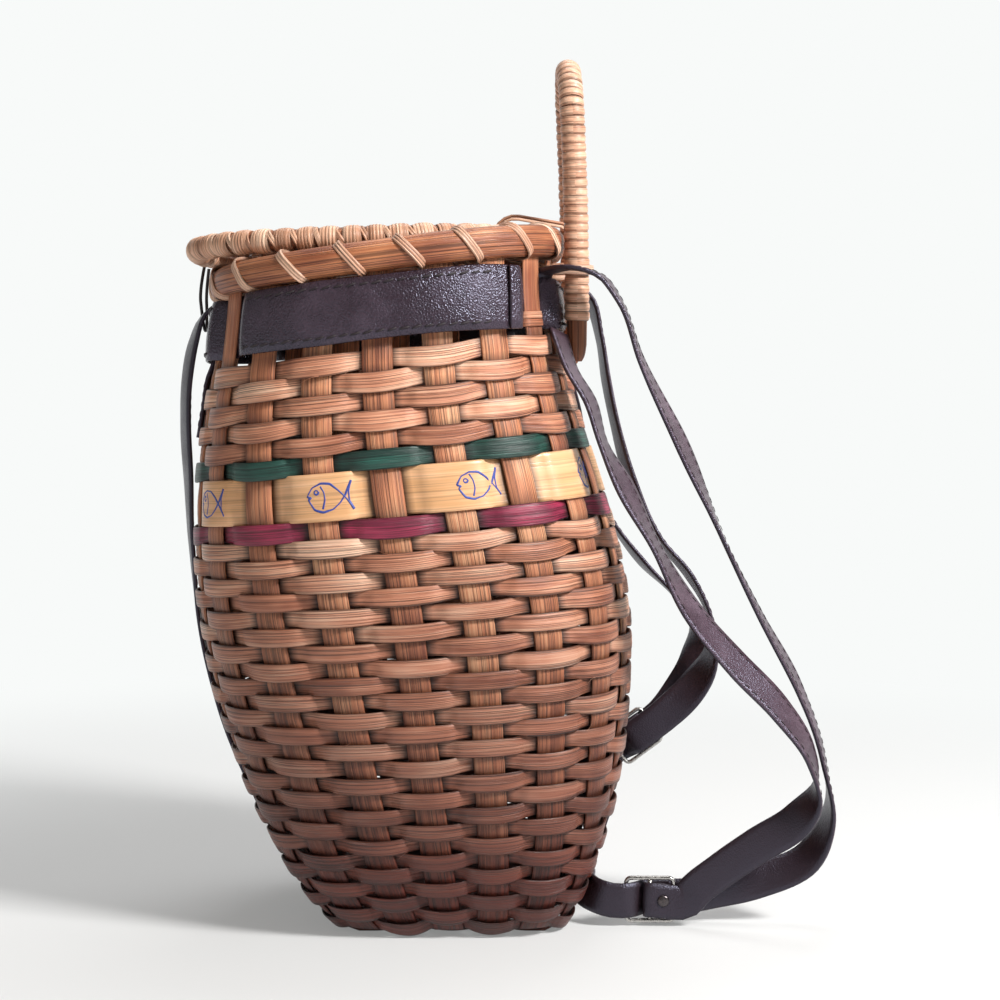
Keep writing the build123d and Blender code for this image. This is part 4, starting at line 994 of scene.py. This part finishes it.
near_short = [((56.9, -48, 321.6), (0.5, 1, 0)), ((64, -57, 300), (0.4, 1, 0)),
              ((73, -60, 285), (0.4, 1, 0)), ((80, -62, 262), (0.3, 1, 0)),
              ((91, -64, 240), (0.5, 1, 0.2)), ((107, -65, 209), (0.2, 1, 0.2)),
              ((128, -65, 172), (0.5, 1, 0.5)), ((151, -64, 145), (0.6, 1, 0.8)),
              ((174, -62, 121), (0.5, 1, 0.7)), ((190, -60, 97), (0.2, 1, 0.6)),
              ((194, -57, 76), (0, 1, 0.8)), ((184, -53, 60), (-0.3, 0.5, 1)),
              ((164, -49, 46), (-0.4, 0.2, 1)), ((144, -45, 31), (-0.4, 0.1, 1)),
              ((130, -42, 19), (-0.1, 0, 1)), ((126.8, -40.8, 14.5), (0, 0, 1)),
              ((109, -40.8, 14.5), (0, 0, 1)), ((107, -40.8, 14.5), (0, 0, 1)),
              ((105, -40, 14.5), (0, 0, 1)), ((104.2, -38, 14.5), (0, 0, 1)),
              ((105, -36, 14.5), (0, 0, 1)), ((107, -35.2, 14.5), (0, 0, 1)),
              ((117.4, -35.2, 14.5), (0, 0, 1))]
far_long = over_band_edge(1) + [
    ((66, 57, 353), (0.3, -1, 0)), ((77, 56, 345), (0.3, -1, 0)), ((84, 56, 323), (0.15, -1, 0.1)),
    ((88, 55, 297), (0.15, -1, 0.1)), ((93, 54, 272), (0.15, -1, 0.1)),
    ((102, 53, 239), (0.2, -1, 0.1)), ((119, 52, 203), (0.2, -1, 0)), ((137, 51, 181), (0.15, -1, 0.1)),
    ((149, 51, 156), (0.1, -1, -0.2)), ((149, 52, 134), (0.2, -0.9, -0.5)),
    ((139, 53.5, 116), (0.5, -0.5, -0.8)), ((121.3, 54.2, 98.3), (0.6, 0, -0.8)),
    ((107.1, 55.1, 87.6), (0.6, 0, -0.8)), ((103.8, 55.9, 85.1), (0.6, 0, -0.8)),
    ((102.1, 57.5, 83.8), (0.6, 0, -0.8)), ((96.6, 65.3, 79.7), (0.6, 0, -0.8)),
    ((88.5, 65.8, 73.6), (0.6, 0, -0.8)), ((84, 58, 62), (0.5, -0.5, -0.6)),
    ((83, 47, 52), (0.3, -0.9, -0.3)), ((85.8, 37, 43.2), (0.14, -0.99, 0)),
    ((81.5, 35.5, 34.8), (0.1, -1, 0)), ((74.1, 32.2, 18.7), (0.07, -1, 0)),
    ((69.1, 29.8, 10.3), (0.05, -1, 0))]
far_short = [((56.9, 48, 321.6), (0.5, -1, 0)), ((63, 60, 300), (0.4, -1, 0)),
             ((69, 70, 280), (0.4, -1, 0)), ((77, 80, 250), (0.1, -1, 0)),
             ((91, 84, 215), (0.1, -1, 0)), ((112, 84, 186), (0.2, -1, 0)),
             ((132, 82, 166), (0.2, -1, -0.2)), ((143, 77, 148), (0.4, -1, -0.5)),
             ((142, 71, 131), (0.5, -0.6, -0.8)), ((132, 66, 112), (0.6, -0.2, -0.8)),
             ((120.9, 63.8, 97.9), (0.6, 0, -0.8)), ((106.7, 64.7, 87.3), (0.6, 0, -0.8)),
             ((105.1, 64.8, 86.1), (0.6, 0, -0.8)), ((103.5, 64.1, 84.9), (0.6, 0, -0.8)),
             ((102.8, 62.1, 84.3), (0.6, 0, -0.8)), ((103.3, 60.1, 84.8), (0.6, 0, -0.8)),
             ((104.9, 59.2, 85.9), (0.6, 0, -0.8)), ((113.2, 58.7, 92.1), (0.6, 0, -0.8))]
make_strap("near_long_strap", "basket", "near_strap", near_long, 1, 11)
make_strap("near_short_strap", "basket", "near_strap_return", near_short, 1, 12)
make_strap("far_long_strap", "basket", "far_strap", far_long, -1, 13)
make_strap("far_short_strap", "basket", "far_strap_return", far_short, -1, 14)


# ------------------------------------------------------------------ buckles and rivets
# Each buckle is a nickel-plated wire frame with a middle bar, and a two-headed rivet closes the
# strap's fold behind the bar. The plating is rubbed and a little dull.
def plated_metal(name, dull_tone, bright_tone, rough):
    """Thin plating, scuffed and duller in patches."""
    material, tree, output = new_material(name)
    where = node(tree, "ShaderNodeTexCoord")
    scuffs = node(tree, "ShaderNodeTexNoise", {"Vector": where.outputs["Object"], "Scale": 700.0,
                                               "Detail": 4.0}).outputs["Fac"]
    dull = node(tree, "ShaderNodeMapRange", {"Value": scuffs, "From Min": 0.35, "From Max": 0.7,
                                             "To Min": rough, "To Max": rough + 0.24})
    tone = node(tree, "ShaderNodeMix", {0: scuffs, 6: linear(dull_tone), 7: linear(bright_tone)},
                data_type="RGBA")
    bump = node(tree, "ShaderNodeBump", {"Height": scuffs, "Strength": 0.3, "Distance": 0.1 * mm})
    surface = node(tree, "ShaderNodeBsdfPrincipled", {
        "Base Color": tone.outputs[2], "Metallic": 1.0, "Roughness": dull.outputs[0],
        "Normal": bump.outputs[0]})
    tree.links.new(surface.outputs[0], output.inputs["Surface"])
    return material


nickel = plated_metal("rubbed_nickel", "#8f8c8a", "#dedcd8", 0.18)
dark_nickel = plated_metal("blackened_nickel", "#3a3536", "#6a6466", 0.22)
buckle_places = {"near": ((107, -38, 14.5), (1, 0, 0), (0, 0, 1)),
                 "far": ((105, 62, 86), (0.799, -0.05, 0.599), (0.6, 0, -0.8))}
bar_place, frame_half, wire, corner_round = 12.8, 11.5, 1.2, 2.6
rivet_behind, rivet_out = 7.0, 4.15


def buckle_frame(side):
    """A buckle's middle, and the ways along the strap, along its bars and out of its face."""
    middle, along, wide = (np.array(v, float) for v in buckle_places[side])
    along /= np.linalg.norm(along)
    wide -= along * wide.dot(along)
    wide /= np.linalg.norm(wide)
    return middle, along, wide, np.cross(wide, along)


def round_wire(points, closed, radius):
    """A round wire along points."""
    points = np.asarray(points, float)
    run = follow(points, closed)
    rings, side = [], np.cross(run[0], (0.3, 0.5, 0.81))
    for point, direction in zip(points, run):
        side = side - direction * side.dot(direction)
        side /= np.linalg.norm(side)
        other = np.cross(direction, side)
        rings.append([point + radius * (math.cos(a) * side + math.sin(a) * other)
                      for a in (math.pi / 5 * k for k in range(10))])
    return np.array(rings), closed, 1.0


def rivet_head(foot, axis):
    """A domed head on its foot."""
    side = np.cross(axis, (0.3, 0.5, 0.81))
    side /= np.linalg.norm(side)
    other = np.cross(axis, side)
    dome = ((-0.1, 3.15), (0.25, 3.2), (0.6, 2.9), (0.95, 2.2), (1.15, 1.2), (1.2, 0.2))
    rings = [[foot + axis * rise + radius * (math.cos(a) * side + math.sin(a) * other)
              for a in (math.pi / 8 * k for k in range(16))] for rise, radius in dome]
    return np.array(rings), False, 1.0


heads = []
for side in ("near", "far"):
    middle, along, wide, away = buckle_frame(side)
    ring = []
    for sx, sz, start in ((1, 1, 0), (-1, 1, 90), (-1, -1, 180), (1, -1, 270)):
        for a in (math.radians(start + 15 * k) for k in range(7)):
            ring.append(middle + along * (sx * (bar_place - corner_round) + corner_round * math.cos(a))
                        + wide * (sz * (frame_half - corner_round) + corner_round * math.sin(a)))
    bar = [middle + wide * h for h in np.linspace(-frame_half + 1.0, frame_half - 1.0, 9)]
    buckle = reed_mesh(side + "_buckle_wire", [round_wire(ring, True, wire), round_wire(bar, False, wire)])
    buckle.data.materials.append(nickel)
    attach(buckle, "basket")
    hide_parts(side + "_buckle")
    for way in (-1, 1):
        heads.append(rivet_head(middle + along * rivet_behind + away * way * rivet_out, away * way))
rivets = reed_mesh("rivet_heads", heads)
rivets.data.materials.append(dark_nickel)
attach(rivets, "basket")
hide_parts("strap_rivets")


# ------------------------------------------------------------------ carrying handle
# A bent core wrapped with close turns of flat cane stands against the outside of the rim behind
# the lid. Its bare thinned ends go down outside the band, each bound to a stake under the rim.
leg_out, half_span, handle_top, grip_half = 67.75, 32.64, 476.0, 7.0
grip_foot, tail_end, lean_from, lean = 331.0, 306.0, 330.0, 4.5
grip_core, wrap_round, wrap_wide, wrap_thick, wrap_step = 5.9, 6.0, 5.3, 0.85, 4.75
spring = handle_top - grip_half - half_span


def handle_line(foot):
    """The middle line of the handle, up one leg from its foot, over the arch and down the other."""
    heights = list(np.linspace(foot, spring, 26))
    line = [(-half_span, z) for z in heights]
    line += [(-half_span * math.cos(a), spring + half_span * math.sin(a))
             for a in np.linspace(0, math.pi, 40)[1:-1]]
    line += [(half_span, z) for z in reversed(heights)]
    return np.array([(leg_out - lean * max((z - lean_from) / (handle_top - lean_from), 0) ** 2, y, z)
                     for y, z in line])


cane_wrap = reed_material("cane_wrap", "#b88064", "#dfae90", "#f6d6bc", fibre=1500.0, rough=0.38, depth=0.1,
                          lines=0.66, vary=0.06)
core_wood = reed_material("core_wood", "#6a3c26", "#9a6040", "#b98260", fibre=900.0, rough=0.55)
line = handle_line(grip_foot)
circle = [(wrap_round * math.cos(a), wrap_round * math.sin(a))
          for a in (2 * math.pi * k / 20 for k in range(20))]
wrap = cane_ring("wrap", circle, wrap_wide, wrap_thick)
turns = repeated("handle_turns", [(line, np.tile((1.0, 0, 0), (len(line), 1)))], wrap, wrap_step,
                 cane_wrap, slant=0.1, sway=0.045, size_change=0.025, seed=21)
core = reed_mesh("handle_core", [round_wire(handle_line(grip_foot - 1.0), False, grip_core)])
core.data.materials.append(core_wood)
for piece in (turns, core):
    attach(piece, "basket")
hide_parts("handle_grip")

tails = []
for side in (-1, 1):
    heights = np.linspace(tail_end, grip_foot, 12)
    points = np.array([(leg_out, side * half_span, z) for z in heights])
    grid = round_wire(points, False, 1.0)[0]
    radii = np.interp(heights, (306, 309, 315, 331), (2.6, 4.4, 5.3, 5.6))
    tails.append((points[:, None, :] + (grid - points[:, None, :]) * radii[:, None, None], False, 1.0))
tail = reed_mesh("handle_ends", tails)
tail.data.materials.append(core_wood)
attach(tail, "basket")
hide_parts("handle_tails")

binding_low, binding_high, binding_swell = 342.5, 347.1, 1.06
round_leg = [(9.0, -1.2), (9.2, 6.0), (8.6, 17.0), (5.0, 23.4), (0.0, 24.2), (-5.0, 23.4), (-8.6, 17.0),
             (-9.2, 6.0), (-9.0, -1.2), (-4.0, -1.5), (4.0, -1.5)]
pitch, centre = wall_pitch(binding_low), np.array([0.0, 11.0])
bindings = []
for place in (1, 19):
    rings = []
    for along, out in round_leg:
        wide_along, wide_out = (np.array([along, out]) - centre) * binding_swell + centre
        rings.append([wall_line(height, [place + reach / pitch], stand)[0] for height, reach, stand in (
            (binding_low, along, out), (binding_low, wide_along, wide_out),
            ((binding_low + binding_high) / 2, wide_along, wide_out + 0.2),
            (binding_high, wide_along, wide_out), (binding_high, along, out))])
    bindings.append((np.array(rings), True, 1.0))
bound = reed_mesh("handle_binding_cane", bindings)
bound.data.materials.append(pale_cane)
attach(bound, "basket")
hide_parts("handle_bindings")


# ------------------------------------------------------------------ lid hoop
# The lid's border: a hoop of round reed, wrapped with turns of six fine canes laid side by side
# and a slanting pair over each join. It lies on the rim, and its front reaches out beyond it.
lid_middle, lid_front, lid_back, lid_side, lid_square = -36.19, 106.0, 70.5, 74.5, 2.5
core_radius, hoop_wraps, line_points = 5.5, 44, 220


def lid_z(x):
    """Height of the lid's middle plane, which falls a little towards the front."""
    return 371.6 + 0.03 * x


def lid_line():
    """The middle of the lid's hoop, with the way out of it."""
    points = []
    for share in np.linspace(0, 1, line_points, endpoint=False):
        length = lid_back if share < 0.25 or share >= 0.75 else lid_front
        shares, xs, ys, _ = oval(length, lid_side, lid_square)
        x, y = np.interp(share, shares, xs), np.interp(share, shares, ys)
        points.append((lid_middle + x, y, lid_z(lid_middle + x)))
    points = np.array(points)
    run = follow(points, True)
    return points, np.stack([run[:, 1], -run[:, 0], 0 * run[:, 0]], axis=1)


hoop_line, hoop_out = lid_line()
closed_line = np.concatenate([hoop_line, hoop_line[:1]])
closed_out = np.concatenate([hoop_out, hoop_out[:1]])
hoop_length = round_off(closed_line)[-1]
lid_cane = reed_material("lid_cane", "#ab7659", "#dba98a", "#fbdabe", fibre=1300.0, rough=0.42, depth=0.14,
                         lines=0.7)


def bundle_ring(name, radius, strands, strand_wide, arch):
    """One turn of several fine canes side by side round the hoop, standing highest in its middle."""
    profile, shades = [], []
    whole = strands * strand_wide
    # Painted shade: each fine cane is darker at its edges, and the turn darkens strongly towards its two
    # sides, in the gaps between turns.
    for k in range(strands):
        for part, ripple, dark in ((0.06, 0.0, 0.8), (0.28, 0.24, 1.0), (0.72, 0.24, 1.0),
                                   (0.94, 0.0, 0.8)):
            x = (k + part) * strand_wide - whole / 2
            side = abs(2 * x / whole)
            profile.append((x, ripple + arch * (1 - side ** 2.6)))
            shades.append(dark * (1.0 - 0.65 * side ** 7))
    around = [2 * math.pi * k / 22 for k in range(22)]
    grid = np.array([[(x, (radius + rise) * math.cos(a), (radius + rise) * math.sin(a))
                      for x, rise in profile] for a in around])
    made = reed_mesh(name, [(grid, True, np.array([shades]))])
    made.data.attributes.remove(made.data.attributes["strand"])
    return made


bundle = bundle_ring("turn", 5.4, 6, 1.85, 1.15)
bundle_step = hoop_length / hoop_wraps - 0.0005
turns = repeated("hoop_turns", [(closed_line, closed_out)], bundle, bundle_step, lid_cane, slant=0.04,
                 sway=0.07, size_change=0.03, seed=31)
later = np.roll(hoop_line, -3, axis=0), np.roll(hoop_out, -3, axis=0)
crossing = repeated("hoop_crossings", [tuple(np.concatenate([part, part[:1]]) for part in later)],
                    bundle_ring("crossing", 5.8, 2, 1.7, 0.5), bundle_step, lid_cane,
                    slant=0.46, sway=0.16, size_change=0.02, seed=33)
core = reed_mesh("hoop_core", [round_wire(hoop_line, True, core_radius)])
core.data.materials.append(core_wood)
for piece in (turns, crossing, core):
    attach(piece, "lid")
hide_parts("lid_border")


# ------------------------------------------------------------------ lid splints
# Five flat splints run from front to back inside the hoop, ten cross them from side to side, over
# and under in turn. All are stained reed, and their ends go into the hoop's wrapping.
splint_pitch, weaver_pitch, splint_wide, weaver_wide = 24.0, 14.0, 12.0, 11.0


def lid_reach(side_way, ahead):
    """How far the hoop's own line is from the lid's middle, at a distance to the side."""
    reach_across, reach_along = (lid_side, lid_front if ahead else lid_back)
    share = min(abs(side_way) / reach_across, 0.995)
    return reach_along * (1 - share ** lid_square) ** (1 / lid_square)


def flat_splint(points, wide, width, thick, crown=1.0):
    """A flat splint along points, its width along a fixed direction."""
    points = np.asarray(points, float)
    wide = np.array(wide, float)
    out = np.cross(follow(points), wide)
    profile = [(-1.0, -0.1), (-0.94, 0.45), (-0.5, 0.5 * crown), (0.5, 0.5 * crown), (0.94, 0.45),
               (1.0, -0.1), (0.9, -0.5), (-0.9, -0.5)]
    grid = np.stack([points + wide * side * width / 2 + out * lift * thick for side, lift in profile],
                    axis=1)
    return grid, False, 1.0


splints = []
for i in range(5):
    y = splint_pitch * (i - 2)
    front_end = lid_middle - lid_reach(abs(y) + 5, True) + 5.5
    back_end = lid_middle + lid_reach(abs(y) + 5, False) - 5.5
    xs = np.linspace(front_end, back_end, 90)
    lift = -0.5 * np.cos(math.pi * ((xs - lid_middle) / weaver_pitch + i))
    points = np.stack([xs, y + 0 * xs, lid_z(xs) + lift], axis=1)
    splints.append(flat_splint(points, (0, -1, 0), splint_wide, 1.6))
splint_piece = reed_mesh("lid_splint_reed", splints)
splint_piece.data.materials.append(stake_reed)
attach(splint_piece, "lid")
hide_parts("lid_splints")

crossers = []
for index in range(-6, 4):
    x = lid_middle + index * weaver_pitch
    length = lid_front if index < 0 else lid_back
    share = min((abs(index * weaver_pitch) + 4) / length, 0.995)
    end = lid_side * (1 - share ** lid_square) ** (1 / lid_square) - 5.5
    ys = np.linspace(-end, end, max(int(end), 12))
    lift = np.cos(math.pi * (ys / splint_pitch + index + 1)) * 2.5
    lift = lift * np.clip((end - np.abs(ys)) / 6, 0, 1)
    points = np.stack([x + 0 * ys, ys, lid_z(x) + lift], axis=1)
    crossers.append(flat_splint(points, (1, 0, 0), weaver_wide, 1.5, 1.2))
crosser_piece = reed_mesh("lid_weaver_reed", crossers)
crosser_piece.data.materials.append(natural_reed)
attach(crosser_piece, "lid")
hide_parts("lid_weavers")


# ------------------------------------------------------------------ hinge loops
# Two slack loops of flat cane tie the back of the lid's hoop to the rim. They stay with the
# basket, and the hoop turns inside them.
axis_x, axis_z, round_lid = 34.31, 375.63, 11.2
loop_place, loop_half = 8.9, 2.1
cane_profile = ((0, -1), (0.9, -0.95), (1.5, -0.5), (1.7, 0), (1.5, 0.5), (0.9, 0.95), (0, 1))
loops = []
for y in (-loop_place, loop_place):
    corners = [(62.6, 361.4), (63.2, 367.0), (62.6, 380.6), (60.6, 382.4)]
    corners += [(axis_x + round_lid * math.cos(a), axis_z + round_lid * math.sin(a))
                for a in (math.radians(80 + 20 * k) for k in range(10))]
    corners += [(45.2, 361.6), (53.0, 360.9)]
    corners = np.array(corners)
    ahead = follow(corners, True)
    outward = np.stack([ahead[:, 1], -ahead[:, 0]], axis=1)
    if np.sum(outward * (corners - corners.mean(axis=0))) < 0:
        outward = -outward
    rings = [[(x + ox * rise, y + side * loop_half, z + oz * rise) for rise, side in cane_profile]
             for (x, z), (ox, oz) in zip(corners, outward)]
    loops.append((np.array(rings), True, 1.0))
hinges = reed_mesh("hinge_loop_cane", loops)
hinges.data.materials.append(lid_cane)
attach(hinges, "basket")
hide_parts("hinge_loops")


# ------------------------------------------------------------------ closing cord
# A thin black leather cord hangs as a loop from the front of the lid. It hooks round the front
# strap to keep the lid shut.
cord_thick = 1.8
tip = lid_middle - lid_front
top = lid_z(tip) - 6.9
route = [(tip, 13, top), (tip - 2.6, 12.4, top - 13.68), (tip - 1.4, 13, top - 25.92),
         (tip - 0.4, 16.2, top - 36), (tip - 0.3, 23.8, top - 35.7), (tip - 0.6, 27, top - 25.2),
         (tip - 1.2, 27.9, top - 12.96), (tip + 0.6, 26.6, top)]
cord_curve = bpy.data.curves.new("closing_cord_leather", "CURVE")
cord_curve.dimensions = "3D"
spline = cord_curve.splines.new("NURBS")
spline.points.add(len(route) - 1)
for point, (x, y, z) in zip(spline.points, route):
    point.co = (x * mm, y * mm, z * mm, 1.0)
spline.order_u = 3
spline.use_endpoint_u = True
spline.resolution_u = 12
cord_curve.bevel_depth = cord_thick / 2 * mm
cord_curve.bevel_resolution = 4
cord_curve.use_fill_caps = True
cord = bpy.data.objects.new("closing_cord_leather", cord_curve)
scene.collection.objects.link(cord)
# Dyed round leather lace: nearly black, with a dull sheen broken by fine nubs.
black_cord, tree, output = new_material("black_cord")
where = node(tree, "ShaderNodeTexCoord")
nubs = node(tree, "ShaderNodeTexNoise", {"Vector": where.outputs["Object"], "Scale": 900.0, "Detail": 3.0})
tone = node(tree, "ShaderNodeMix", {0: nubs.outputs["Fac"], 6: linear("#141112"), 7: linear("#3a3437")},
            data_type="RGBA")
bump = node(tree, "ShaderNodeBump", {"Height": nubs.outputs["Fac"], "Strength": 0.6, "Distance": 0.3 * mm})
surface = node(tree, "ShaderNodeBsdfPrincipled", {"Base Color": tone.outputs[2], "Roughness": 0.45,
                                                  "Normal": bump.outputs[0]})
tree.links.new(surface.outputs[0], output.inputs["Surface"])
cord_curve.materials.append(black_cord)
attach(cord, "lid")
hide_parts("closing_cord")

size = {"cad": cad_box, "visual": [[float(c) for c in corner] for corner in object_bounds()]}
